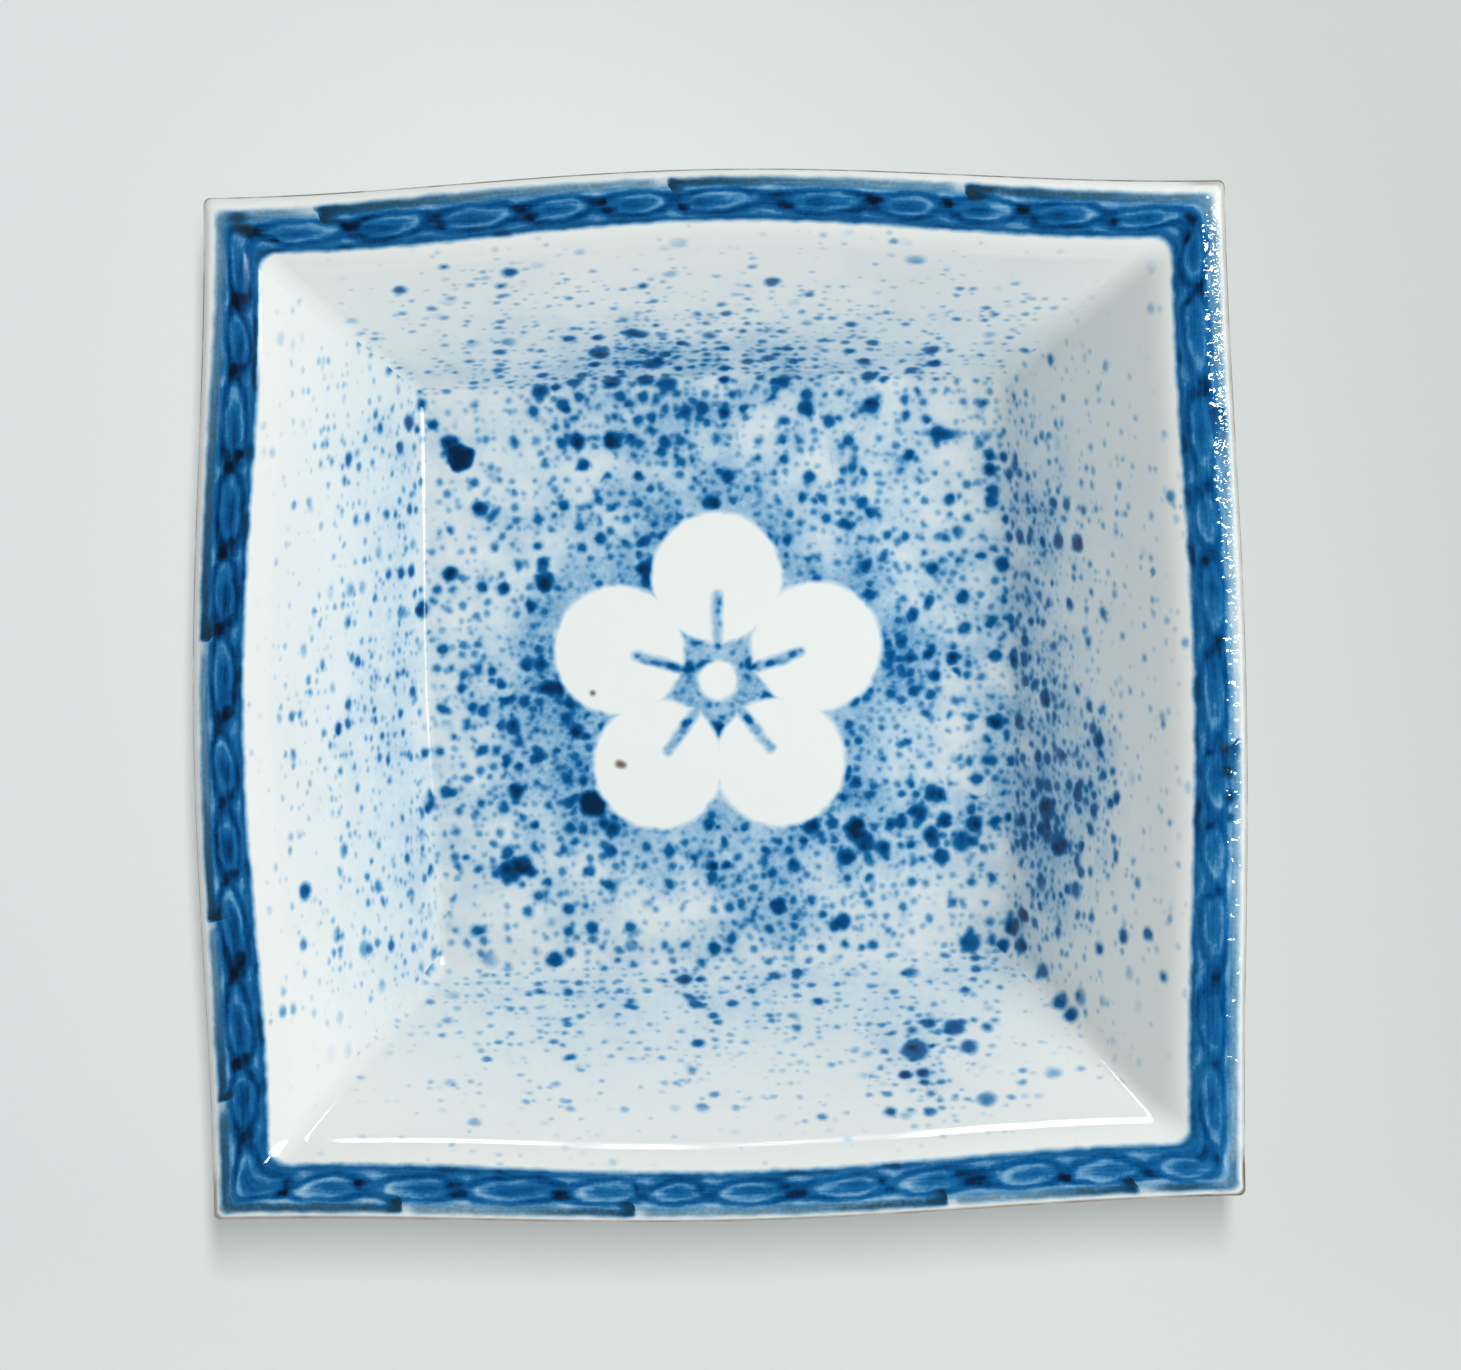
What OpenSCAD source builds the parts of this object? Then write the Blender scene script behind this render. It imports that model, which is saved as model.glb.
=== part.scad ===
// Square soy sauce dish in porcelain: a flat floor slab, four sloping wall slabs
// mitred at the corners with an everted lip, a foot ring luted on underneath,
// a blue border band on the lip and a brown edging line round its rim.
// Millimetres, +Z up. The origin is the centre of the surface the dish stands on.

/* [Plan] */
// Side of the square, between neighbouring corners of the lip
side = 96; // [80:1:120]
// How far the middle of each side of the lip swells past the line between its corners
side_bow = 1.6; // [0:0.1:4]
// How far the middle of each wall swells in the same way, where it bends into the lip
wall_bow = 1.9; // [0:0.1:4]
// How far the middle of each side of the floor swells in the same way
floor_bow = 0.5; // [0:0.1:1.5]
// Radius of the four corner tips of the lip
tip_radius = 1; // [0.5:0.1:4]
// Radius of the corners where the walls bend into the lip
shoulder_radius = 1.6; // [1:0.1:6]
// Radius of the corners of the floor
floor_radius = 1.2; // [0.5:0.1:5]

/* [Well] */
// Width of the floor inside, between the feet of opposite walls
floor_width = 55; // [46:1:62]
// Thickness of the floor slab
floor_thickness = 4; // [3:0.1:6]
// Depth of the well, from the crest of the lip down to the floor
well_depth = 21; // [14:0.5:28]
// Radius of the hollow where a wall meets the floor
crease_radius = 2.5; // [1:0.1:4]

/* [Walls and lip] */
// Thickness of the walls
wall_thickness = 3.2; // [2.4:0.1:4.5]
// Width of the everted lip
lip_width = 5.3; // [4.5:0.1:7]
// Thickness of the lip
lip_thickness = 1.8; // [1.4:0.1:2.6]
// How far the edge of the lip hangs below its crest
lip_droop = 0.9; // [0.2:0.1:1.5]
// Radius of the bend from the wall to the lip, as far as the lip has room for it
bend_radius = 6.6; // [2:0.1:8]
// Radius of the hollow under the lip
under_lip_radius = 2; // [1:0.1:3]
// Radius of the heel, where a wall turns under the floor
heel_radius = 2; // [1:0.1:4]

/* [Foot ring] */
// Height of the foot ring
foot_height = 5; // [4:0.1:8]
// Thickness of the foot ring where it joins the floor
foot_thickness = 4.4; // [3.4:0.1:6]
// How far the foot ring stands in from the edge of the floor slab
foot_inset = 3; // [1.5:0.1:5]
// How much each face of the foot ring leans in towards its bottom
foot_lean = 0.6; // [0.2:0.1:1]
// Outer radius of the foot ring's corners
foot_corner = 9; // [8:0.5:14]
// Bevel along the bottom of the foot ring
foot_bevel = 0.5; // [0.2:0.1:0.8]

/* [Painted coats] */
// Thickness of the fired-on border band and edging
coat = 0.3; // [0.2:0.05:0.5]
// Width of the border band, measured over the bend
band_width = 4.3; // [3:0.1:5]
// White margin left between the border band and the edge of the lip
edge_margin = 1; // [1:0.1:1.6]
// Share of the rounded edge that the edging line covers
edging_share = 0.4; // [0.2:0.05:0.7]

/* [Hidden] */
$fn = 96;

porcelain = "#eef2f0";
biscuit = "#e9e6dd";
cobalt = "#1f549a";
iron_brown = "#8c5f3c";

// Straight steps in a rounded corner of a section, along half a side and round half a corner
arc_steps = 4;
edging_steps = 3;
side_steps = 6;
corner_steps = 3;
// Flat left on each face of the joint between the floor slab and a wall
seam_flat = 0.4;
// Flat left on the lip, between the bend and the margin and between the margin and the rounded edge
lip_flat = 0.1;

// Heights
half = side / 2;
z_under = foot_height;
z_floor = z_under + floor_thickness;
z_crest = z_floor + well_depth;

// Section of a wall as points [distance from the centre, height]:
// the sharp corners of its inner face, and the directions of its two straight stretches
wall_foot = [floor_width / 2, z_floor];
lip_bend = [half - lip_width, z_crest];
lip_edge = [half, z_crest - lip_droop];
wall_dir = unit(lip_bend - wall_foot);
lip_dir = unit(lip_edge - lip_bend);
into_wall = [wall_dir.y, -wall_dir.x];
into_lip = [lip_dir.y, -lip_dir.x];
wall_angle = atan2(wall_dir.y, wall_dir.x);
lip_angle = atan2(lip_dir.y, lip_dir.x);

// Half the turn from the wall to the lip, whose tangent is the reach of a fillet of radius 1
half_turn = (wall_angle - lip_angle) / 2;

// Sharp corners of its outer face
outer_wall = wall_foot + into_wall * wall_thickness;
under_lip = crossing(outer_wall, wall_dir, lip_edge + into_lip * lip_thickness, lip_dir);
heel = crossing(outer_wall, wall_dir, [0, z_under], [1, 0]);

// Rounded edge of the lip, with the edging line along the middle of it
edge_radius = lip_thickness / 2;
edge_centre = lip_edge - (lip_dir - into_lip) * edge_radius;
edging_angle = 90 * edging_share;

// Hollow under the lip, limited by the room between the wall and the rounded edge
under_room = norm(edge_centre + into_lip * edge_radius - under_lip) - lip_flat;
under_radius = min(under_lip_radius, under_room / tan(half_turn));

// Bend from the wall to the lip, limited by the room that the margin leaves
margin = max(edge_margin, edge_radius + lip_flat);
bend_room = norm(lip_edge - lip_bend) - margin - lip_flat;
bend = min(bend_radius, bend_room / tan(half_turn));
bend_start = lip_bend - wall_dir * bend * tan(half_turn);
bend_centre = bend_start + into_wall * bend;
bend_end = bend_centre - into_lip * bend;

// The border band runs in from its margin over the lip and round the bend, as far as its width goes
band_end = lip_edge - lip_dir * margin;
band_turn = (band_width - norm(band_end - bend_end)) / bend * 180 / PI;
band_from = 90 + lip_angle + band_turn;

// The floor slab ends where both the hollow and the heel have run out flat
seam = min(wall_foot.x - crease_radius * tan(wall_angle / 2),
           heel.x - heel_radius * tan(wall_angle / 2)) - seam_flat;
foot_half = seam - foot_inset;

// Places along a side as [share of its straight stretch, angle round its corner],
// from the mitre at its left end to the mitre at its right end
stations = concat(
    [for (i = [-corner_steps:-1]) [-1, 45 * i / corner_steps]],
    [for (i = [-side_steps:side_steps]) [i / side_steps, 0]],
    [for (i = [1:corner_steps]) [1, 45 * i / corner_steps]]);

function unit(v) = v / norm(v);
function turned(angle) = [cos(angle), sin(angle)];
function mix(a, b, share) = a + (b - a) * share;
function reversed(list) = [for (i = [len(list) - 1:-1:0]) list[i]];
function quarter_turned(p, turns) = turns == 0 ? p : quarter_turned([-p.y, p.x], turns - 1);

// Point where the line through p along u meets the line through q along v
function crossing(p, u, q, v) =
    p + u * ((q - p).x * v.y - (q - p).y * v.x) / (u.x * v.y - u.y * v.x);

// Points of an arc about a centre
function arc(centre, radius, from, to, steps = arc_steps) =
    [for (i = [0:steps]) centre + radius * turned(mix(from, to, i / steps))];

// Points that round the corner at p, between a line arriving along u and one leaving along v
function rounded(p, u, v, radius) =
    let (bend = atan2(u.x * v.y - u.y * v.x, u * v),
         towards = sign(bend) * [-u.y, u.x],
         from = atan2(-towards.y, -towards.x))
    arc(p - u * radius * tan(abs(bend) / 2) + towards * radius, radius, from, from + bend);

// The plan at a distance from the centre: how far its sides swell and how round its corners are,
// which grows with the cube of the way up the wall
function up_wall(distance) = (distance - seam) / (lip_bend.x - seam);
function along_lip(distance) = (distance - lip_bend.x) / lip_width;
function bow_at(distance) =
    distance < lip_bend.x
        ? mix(floor_bow, wall_bow, up_wall(distance))
        : mix(wall_bow, side_bow, along_lip(distance));
function corner_at(distance) =
    distance < lip_bend.x
        ? mix(floor_radius, shoulder_radius, pow(up_wall(distance), 3))
        : mix(shoulder_radius, tip_radius, along_lip(distance));

// A station of the plan's front side: a raised-cosine swell that runs out level
// where the rounded corner begins
function plan_point(distance, station) =
    let (radius = corner_at(distance),
         straight = distance - radius,
         swell = bow_at(distance) * (1 + cos(180 * station[0])) / 2)
    [station[0] * straight + radius * sin(station[1]),
     -straight - swell - radius * cos(station[1])];

// The whole plan, side after side, without repeating the mitres
function plan_round(distance) =
    [for (turns = [0:3], i = [0:len(stations) - 2])
        quarter_turned(plan_point(distance, stations[i]), turns)];

// The face under the border band, up to the crest and out along the lip, sunk to a depth
// below the glazed surface
function band_face(depth) = concat(
    arc(bend_centre, bend - depth, band_from, 90),
    [bend_end + into_lip * depth, band_end + into_lip * depth]);

// The rounded edge under the edging line, sunk in the same way
function edging_face(depth) = arc(edge_centre, edge_radius - depth,
    lip_angle + edging_angle, lip_angle - edging_angle, edging_steps);

// Inner and outer face of a wall, each from the floor slab out to the middle of the lip's edge
function wall_inner() = concat(
    [[seam, z_floor]],
    rounded(wall_foot, [1, 0], wall_dir, crease_radius),
    arc(bend_centre, bend, 90 + wall_angle, band_from),
    band_face(coat),
    [band_end],
    arc(edge_centre, edge_radius, lip_angle + 90, lip_angle + edging_angle),
    [for (i = [0:(edging_steps - 1) / 2]) edging_face(coat)[i]]);

function wall_outer() = concat(
    [[seam, z_under]],
    rounded(heel, [1, 0], wall_dir, heel_radius),
    rounded(under_lip, wall_dir, lip_dir, under_radius),
    arc(edge_centre, edge_radius, lip_angle - 90, lip_angle - edging_angle),
    [for (i = [0:(edging_steps - 1) / 2]) edging_face(coat)[edging_steps - i]]);

// Section of the foot ring as points [distance in from its outer face, height]
function foot_section() = [
    [0, foot_height],
    [foot_lean, foot_bevel],
    [foot_lean + foot_bevel, 0],
    [foot_thickness - foot_lean - foot_bevel, 0],
    [foot_thickness - foot_lean, foot_bevel],
    [foot_thickness, foot_height]];

// Two triangles for each step of a closed section of n points from row to row
function skin(n, row, next_row) =
    [for (i = [0:n - 1])
        let (a = row * n + i, b = row * n + (i + 1) % n,
             c = next_row * n + (i + 1) % n, d = next_row * n + i)
        each [[a, d, c], [a, c, b]]];

// Triangles that fill a section between its inner and outer face, stepping along
// whichever of the two lags behind; the outer face is numbered from the section's end
function web(inner_n, outer_n, i = 0, j = 0) =
    let (last = inner_n + outer_n - 1,
         inner_next = (i + 1) / (inner_n - 1),
         outer_next = (j + 1) / (outer_n - 1))
    i == inner_n - 1 && j == outer_n - 1 ? []
    : inner_next <= outer_next
        ? concat([[i, i + 1, last - j]], web(inner_n, outer_n, i + 1, j))
        : concat([[i, last - j - 1, last - j]], web(inner_n, outer_n, i, j + 1));

// Carries a wall along the front side, with its ends cut on the mitre
module along_front(inner, outer) {
    section = concat(inner, reversed(outer));
    n = len(section);
    rows = len(stations);
    cap = web(len(inner), len(outer));
    polyhedron(
        points = [for (s = stations, p = section)
            let (q = plan_point(p.x, s)) [q.x, q.y, p.y]],
        faces = concat(
            [for (row = [0:rows - 2]) each skin(n, row, row + 1)],
            cap,
            [for (t = cap) [for (i = reversed(t)) (rows - 1) * n + i]]));
}

// Carries a closed section right round the lip
module all_round(section) {
    n = len(section);
    rings = [for (p = section) plan_round(p.x)];
    rows = len(rings[0]);
    polyhedron(
        points = [for (row = [0:rows - 1], i = [0:n - 1])
            [rings[i][row].x, rings[i][row].y, section[i].y]],
        faces = [for (row = [0:rows - 1]) each skin(n, row, (row + 1) % rows)]);
}

// Flat base of the well
module floor_slab() {
    color(porcelain)
    translate([0, 0, z_under])
    linear_extrude(height = floor_thickness)
    polygon(plan_round(seam));
}

// Wall slab with its lip, turned to the side where it stands
module wall(turns) {
    color(porcelain)
    rotate(90 * turns)
    along_front(wall_inner(), wall_outer());
}

// Square ring with rounded corners that the dish stands on
module foot_ring() {
    straight = foot_half - foot_corner;
    color(biscuit)
    for (turns = [0:3])
        rotate(90 * turns) {
            translate([-straight, 0, 0])
            rotate([90, 0, 90])
            linear_extrude(height = 2 * straight)
            polygon([for (p = foot_section()) [p.x - foot_half, p.y]]);

            translate([straight, -straight, 0])
            rotate(-90)
            rotate_extrude(angle = 90)
            polygon([for (p = foot_section()) [foot_corner - p.x, p.y]]);
        }
}

// Blue band fired on over the bend and the lip
module border_band() {
    color(cobalt)
    all_round(concat(band_face(0), reversed(band_face(coat))));
}

// Brown line fired on along the very edge of the lip
module rim_edging() {
    color(iron_brown)
    all_round(concat(edging_face(0), reversed(edging_face(coat))));
}

floor_slab();
wall(0);  // wall_front
wall(1);  // wall_right
wall(2);  // wall_back
wall(3);  // wall_left
foot_ring();
border_band();
rim_edging();
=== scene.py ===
"""Dressed model of a square blue-and-white porcelain soy sauce dish.

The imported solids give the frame. Each of them is replaced by a finely divided surface of the same form,
finished with a procedural glaze, and the dish stands on a pale studio floor. Lengths are millimetres in
the classes below, and metres once they reach Blender.
"""

from __future__ import annotations

import logging
import math
from dataclasses import dataclass, field
from enum import Enum
from typing import Any, Union

import bmesh
import bpy
import numpy as np
from mathutils import Euler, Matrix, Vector

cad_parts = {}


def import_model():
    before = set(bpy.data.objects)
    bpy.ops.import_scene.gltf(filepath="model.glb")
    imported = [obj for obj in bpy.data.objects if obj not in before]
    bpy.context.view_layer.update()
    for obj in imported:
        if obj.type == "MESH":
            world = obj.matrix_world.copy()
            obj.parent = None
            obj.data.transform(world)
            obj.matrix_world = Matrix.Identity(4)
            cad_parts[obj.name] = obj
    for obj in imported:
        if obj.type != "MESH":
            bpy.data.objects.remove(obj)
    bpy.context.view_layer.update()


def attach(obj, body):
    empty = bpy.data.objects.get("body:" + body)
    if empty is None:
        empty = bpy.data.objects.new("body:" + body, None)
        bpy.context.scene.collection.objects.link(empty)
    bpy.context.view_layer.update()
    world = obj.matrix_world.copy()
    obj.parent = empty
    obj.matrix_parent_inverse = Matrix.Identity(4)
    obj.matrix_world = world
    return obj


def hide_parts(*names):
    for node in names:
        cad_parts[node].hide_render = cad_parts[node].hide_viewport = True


LOG = logging.getLogger("soy_sauce_dish")
MM = 0.001
BODY = "root"
IMAGE_WIDTH = 1461
BORDER_MAP = "border_path"
OFF_BORDER = -9.0

Array = np.ndarray
Colour = tuple[float, float, float, float]
Operand = Union["Value", float]


def srgb(red: float, green: float, blue: float) -> Colour:
    """Turn a display colour of 0 to 255 into the linear colour that shaders take.

    Args:
        red: Display red.
        green: Display green.
        blue: Display blue.

    Returns:
        Linear red, green, blue and an alpha of one.
    """
    share = np.array([red, green, blue]) / 255.0
    linear = np.where(share <= 0.04045, share / 12.92, ((share + 0.055) / 1.055) ** 2.4)
    return (*linear.tolist(), 1.0)


class Value:
    """A shader socket that takes part in Python arithmetic, adding Math nodes as it goes."""

    def __init__(self, shader: Shader, socket: bpy.types.NodeSocket) -> None:
        """Keep the socket and the shader that it belongs to."""
        self.shader = shader
        self.socket = socket

    def __add__(self, other: Operand) -> Value:
        """Sum of two values."""
        return self.shader.math("ADD", self, other)

    __radd__ = __add__

    def __sub__(self, other: Operand) -> Value:
        """Difference of two values."""
        return self.shader.math("SUBTRACT", self, other)

    def __rsub__(self, other: Operand) -> Value:
        """A number less this value."""
        return self.shader.math("SUBTRACT", other, self)

    def __mul__(self, other: Operand) -> Value:
        """Product of two values."""
        return self.shader.math("MULTIPLY", self, other)

    __rmul__ = __mul__

    def __truediv__(self, other: Operand) -> Value:
        """Quotient of two values."""
        return self.shader.math("DIVIDE", self, other)

    def __pow__(self, power: Operand) -> Value:
        """This value to a power."""
        return self.shader.math("POWER", self, power)

    def __neg__(self) -> Value:
        """This value with its sign changed."""
        return self * -1.0

    def __abs__(self) -> Value:
        """This value without its sign."""
        return self.shader.math("ABSOLUTE", self)

    def at_least(self, other: Operand) -> Value:
        """The larger of two values."""
        return self.shader.math("MAXIMUM", self, other)

    def at_most(self, other: Operand) -> Value:
        """The smaller of two values."""
        return self.shader.math("MINIMUM", self, other)

    def above(self, limit: Operand) -> Value:
        """One where this value is above a limit, else zero."""
        return self.shader.math("GREATER_THAN", self, limit)

    def fraction(self) -> Value:
        """What is left after the whole part."""
        return self.shader.math("FRACT", self)

    def sign(self) -> Value:
        """Minus one, zero or one."""
        return self.shader.math("SIGN", self)

    def root(self) -> Value:
        """Square root."""
        return self.shader.math("SQRT", self)

    def sine(self) -> Value:
        """Sine of an angle in radians."""
        return self.shader.math("SINE", self)

    def cosine(self) -> Value:
        """Cosine of an angle in radians."""
        return self.shader.math("COSINE", self)

    def ease(self, start: Operand, end: Operand) -> Value:
        """Smooth step from zero at start to one at end, whichever of the two is larger.

        Args:
            start: Value at which the step begins.
            end: Value at which the step is complete.

        Returns:
            The eased value.
        """
        settings = {"interpolation_type": "SMOOTHSTEP"}
        return self.shader.node("ShaderNodeMapRange", settings, {0: self, 1: start, 2: end})

    def sibling(self, output: Union[str, int]) -> Value:
        """Another output of the node that this value comes from."""
        return Value(self.shader, self.socket.node.outputs[output])


class Shader:
    """A node tree, with one method that adds any node."""

    def __init__(self, tree: bpy.types.NodeTree) -> None:
        """Start with an empty tree."""
        self.tree = tree
        self.tree.nodes.clear()

    def node(
        self,
        kind: str,
        settings: dict[str, Any] | None = None,
        inputs: dict[Union[str, int], Any] | None = None,
        output: Union[str, int] = 0,
    ) -> Value | None:
        """Add a node: its settings first, then the values or links of its sockets.

        Args:
            kind: The node's type.
            settings: Properties to set; "stops" fills a colour ramp with (position, colour) pairs.
            inputs: Values, or links from other nodes, by socket name or number.
            output: Which output to return.

        Returns:
            That output, or None for a node without outputs.
        """
        made = self.tree.nodes.new(kind)
        for name, setting in (settings or {}).items():
            if name == "stops":
                self._fill(made.color_ramp, setting)
            else:
                setattr(made, name, setting)
        for name, given in (inputs or {}).items():
            if isinstance(given, Value):
                self.tree.links.new(given.socket, made.inputs[name])
            else:
                made.inputs[name].default_value = given
        return Value(self, made.outputs[output]) if made.outputs else None

    @staticmethod
    def _fill(ramp: bpy.types.ColorRamp, stops: list[tuple[float, Colour]]) -> None:
        """Give a ramp its stops, in order of position."""
        while len(ramp.elements) < len(stops):
            ramp.elements.new(1.0)
        for element, (position, colour) in zip(ramp.elements, stops):
            element.position = position
            element.color = colour

    def math(self, operation: str, *values: Operand) -> Value:
        """Add a Math node."""
        return self.node("ShaderNodeMath", {"operation": operation}, dict(enumerate(values)))

    def vector(self, operation: str, *vectors: Any) -> Value:
        """Add a Vector Math node for two vectors."""
        return self.node("ShaderNodeVectorMath", {"operation": operation}, dict(enumerate(vectors)))

    def mix(self, first: Any, second: Any, share: Operand) -> Value:
        """Blend two colours.

        Args:
            first: Colour where share is zero.
            second: Colour where share is one.
            share: How much of the second colour shows.

        Returns:
            The blended colour.
        """
        return self.node("ShaderNodeMix", {"data_type": "RGBA"}, {0: share, 6: first, 7: second}, 2)

    def place(self) -> Value:
        """Object coordinates in millimetres."""
        metres = self.node("ShaderNodeTexCoord", output="Object")
        return self.vector("MULTIPLY", metres, (1.0 / MM,) * 3)

    def moved(self, place: Value, by: tuple[float, float, float]) -> Value:
        """Coordinates shifted by a constant, so that like textures differ."""
        return self.vector("ADD", place, by)

    def noise(self, place: Value, size: float, detail: float = 2.0, roughness: float = 0.5) -> Value:
        """Cloudy values of 0 to 1.

        Args:
            place: Coordinates in millimetres.
            size: Size of the largest clouds in millimetres.
            detail: Number of finer layers.
            roughness: Strength of the finer layers.

        Returns:
            Noise around one half.
        """
        inputs = {"Vector": place, "Scale": 1.0 / size, "Detail": detail, "Roughness": roughness}
        return self.node("ShaderNodeTexNoise", None, inputs)

    def stirred(self, place: Value, size: float, reach: float) -> Value:
        """Coordinates pushed about by noise.

        Args:
            place: Coordinates in millimetres.
            size: Size of the eddies in millimetres.
            reach: Furthest push in millimetres.

        Returns:
            The pushed coordinates.
        """
        push = self.noise(place, size).sibling("Color")
        centred = self.vector("SUBTRACT", push, (0.5,) * 3)
        return self.vector("ADD", place, self.vector("MULTIPLY", centred, (2.0 * reach,) * 3))

    def finish(self, surface: Value) -> None:
        """Send a shader to the tree's output."""
        self.node("ShaderNodeOutputMaterial", None, {"Surface": surface})


def material(name: str) -> tuple[bpy.types.Material, Shader]:
    """Make an empty node material.

    Args:
        name: The material's name.

    Returns:
        The material and the shader that fills it.
    """
    made = bpy.data.materials.new(name)
    made.use_nodes = True
    return made, Shader(made.node_tree)


class Group(Enum):
    """What a lamp can be kept for: the dish, parts of it, or the floor that it stands on."""

    DISH = "dish_pieces"
    WELL = "well_and_left_wall"
    RIM = "border_and_right_wall"
    FRONT = "front_wall"
    STAGE = "stage_pieces"


def gathered(group: Group) -> bpy.types.Collection:
    """The collection of a group, made when it is first asked for."""
    found = bpy.data.collections.get(group.value)
    if found is None:
        found = bpy.data.collections.new(group.value)
        bpy.context.scene.collection.children.link(found)
    return found


class Side(Enum):
    """The four sides of the dish, by the quarter turns that bring the front side there."""

    FRONT = 0
    RIGHT = 1
    BACK = 2
    LEFT = 3


@dataclass(frozen=True)
class Settling:
    """How the slabs moved out of square as they were joined and fired.

    Every figure is in millimetres at the corner of the square. The whole is shifted so that sides which
    swell unalike lie evenly about the foot. The rim's keystone narrows the back and widens the front; the
    floor is shifted, turned and skewed a little within the walls.
    """

    whole_shift: tuple[float, float] = (0.2, -0.28)
    rim_keystone: float = -0.75
    floor_shift: tuple[float, float] = (0.3, 0.2)
    floor_turn: float = 0.3
    floor_skew: tuple[float, float] = (0.2, -0.15)

    def settle(self, points: Array, form: DishForm) -> Array:
        """Push points sideways: a bilinear offset at the floor fades into another at the rim.

        Args:
            points: Points in millimetres, in the last axis.
            form: The dish, for its half widths and heights.

        Returns:
            The pushed points.
        """
        x, y, z = np.moveaxis(points, -1, 0)
        rise = np.clip((z - form.z_floor) / (form.z_crest - form.z_floor), 0.0, 1.0)
        rim_x, rim_y = x / form.half, y / form.half
        low_x, low_y = x / form.foot_of_wall, y / form.foot_of_wall
        floor_push_x = self.floor_shift[0] + self.floor_skew[0] * low_x * low_y - self.floor_turn * low_y
        floor_push_y = self.floor_shift[1] + self.floor_skew[1] * low_x * low_y + self.floor_turn * low_x
        fade = (1.0 - rise) * (z > form.z_under - 0.5)
        push_x = self.whole_shift[0] + rise * self.rim_keystone * rim_x * rim_y + fade * floor_push_x
        push_y = self.whole_shift[1] + fade * floor_push_y
        return points + np.stack([push_x, push_y, np.zeros_like(z)], axis=-1)


@dataclass(frozen=True)
class DishForm:
    """Driving sizes of the dish, and the section and plan that follow from them."""

    side: float = 96.0
    rim_swells: tuple[float, float, float, float] = (1.3, 1.05, 1.85, 1.45)
    wall_swells: tuple[float, float, float, float] = (1.7, 1.25, 2.3, 2.0)
    floor_swell: float = 0.5
    tip_radius: float = 0.6
    shoulder_radius: float = 1.6
    floor_radius: float = 1.2
    floor_width: float = 55.0
    floor_thickness: float = 4.0
    well_depth: float = 21.0
    crease_radius: float = 2.5
    glazed_crease_radius: float = 1.5
    wall_thickness: float = 3.2
    lip_width: float = 5.3
    lip_thickness: float = 1.8
    lip_droop: float = 0.9
    bend_radius: float = 6.6
    under_lip_radius: float = 2.0
    heel_radius: float = 2.0
    foot_height: float = 5.0
    coat: float = 0.3
    edge_margin: float = 1.0
    band_width: float = 4.3
    edging_share: float = 0.4
    seam_flat: float = 0.4
    fan_start: float = 0.7
    arc_steps: int = 14
    side_steps: int = 44
    corner_steps: int = 10
    settling: Settling = field(default_factory=Settling)

    @property
    def half(self) -> float:
        """Half the side of the square."""
        return self.side / 2.0

    @property
    def foot_of_wall(self) -> float:
        """Half the width of the floor inside."""
        return self.floor_width / 2.0

    @property
    def z_under(self) -> float:
        """Height of the underside of the floor slab."""
        return self.foot_height

    @property
    def z_floor(self) -> float:
        """Height of the floor of the well."""
        return self.z_under + self.floor_thickness

    @property
    def z_crest(self) -> float:
        """Height of the sharp corner between wall and lip."""
        return self.z_floor + self.well_depth

    @property
    def wall_foot(self) -> Array:
        """Sharp corner between floor and wall, as distance from the centre and height."""
        return np.array([self.foot_of_wall, self.z_floor])

    @property
    def lip_bend(self) -> Array:
        """Sharp corner between wall and lip."""
        return np.array([self.half - self.lip_width, self.z_crest])

    @property
    def lip_edge(self) -> Array:
        """Sharp outer corner of the lip."""
        return np.array([self.half, self.z_crest - self.lip_droop])

    @property
    def wall_dir(self) -> Array:
        """Direction up the wall."""
        return unit(self.lip_bend - self.wall_foot)

    @property
    def lip_dir(self) -> Array:
        """Direction out along the lip."""
        return unit(self.lip_edge - self.lip_bend)

    @property
    def wall_angle(self) -> float:
        """Slope of the wall in radians."""
        return math.atan2(self.wall_dir[1], self.wall_dir[0])

    @property
    def lip_angle(self) -> float:
        """Slope of the lip in radians."""
        return math.atan2(self.lip_dir[1], self.lip_dir[0])

    @property
    def outer_wall(self) -> Array:
        """A point of the wall's outer face."""
        return self.wall_foot + right_of(self.wall_dir) * self.wall_thickness

    @property
    def under_lip(self) -> Array:
        """Sharp corner between the wall's outer face and the underside of the lip."""
        under_edge = self.lip_edge + right_of(self.lip_dir) * self.lip_thickness
        return crossing(self.outer_wall, self.wall_dir, under_edge, self.lip_dir)

    @property
    def heel(self) -> Array:
        """Sharp corner between the wall's outer face and the underside of the floor."""
        return crossing(self.outer_wall, self.wall_dir, np.array([0.0, self.z_under]), np.array([1.0, 0.0]))

    @property
    def seam(self) -> float:
        """Distance from the centre at which the floor slab ends and the walls begin."""
        reach = math.tan(self.wall_angle / 2.0)
        hollow = self.wall_foot[0] - self.crease_radius * reach
        heel = self.heel[0] - self.heel_radius * reach
        return min(hollow, heel) - self.seam_flat

    @property
    def edge_radius(self) -> float:
        """Radius of the lip's rounded edge."""
        return self.lip_thickness / 2.0

    @property
    def edge_centre(self) -> Array:
        """Centre of the lip's rounded edge."""
        return self.lip_edge - (self.lip_dir - right_of(self.lip_dir)) * self.edge_radius

    @property
    def bend_start(self) -> Array:
        """Where the wall begins to bend over into the lip."""
        reach = self.bend_radius * math.tan((self.wall_angle - self.lip_angle) / 2.0)
        return self.lip_bend - self.wall_dir * reach

    @property
    def bend_centre(self) -> Array:
        """Centre of the bend from the wall to the lip."""
        return self.bend_start + right_of(self.wall_dir) * self.bend_radius

    @property
    def band_end(self) -> Array:
        """Outer edge of the border band."""
        return self.lip_edge - self.lip_dir * self.edge_margin

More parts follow.
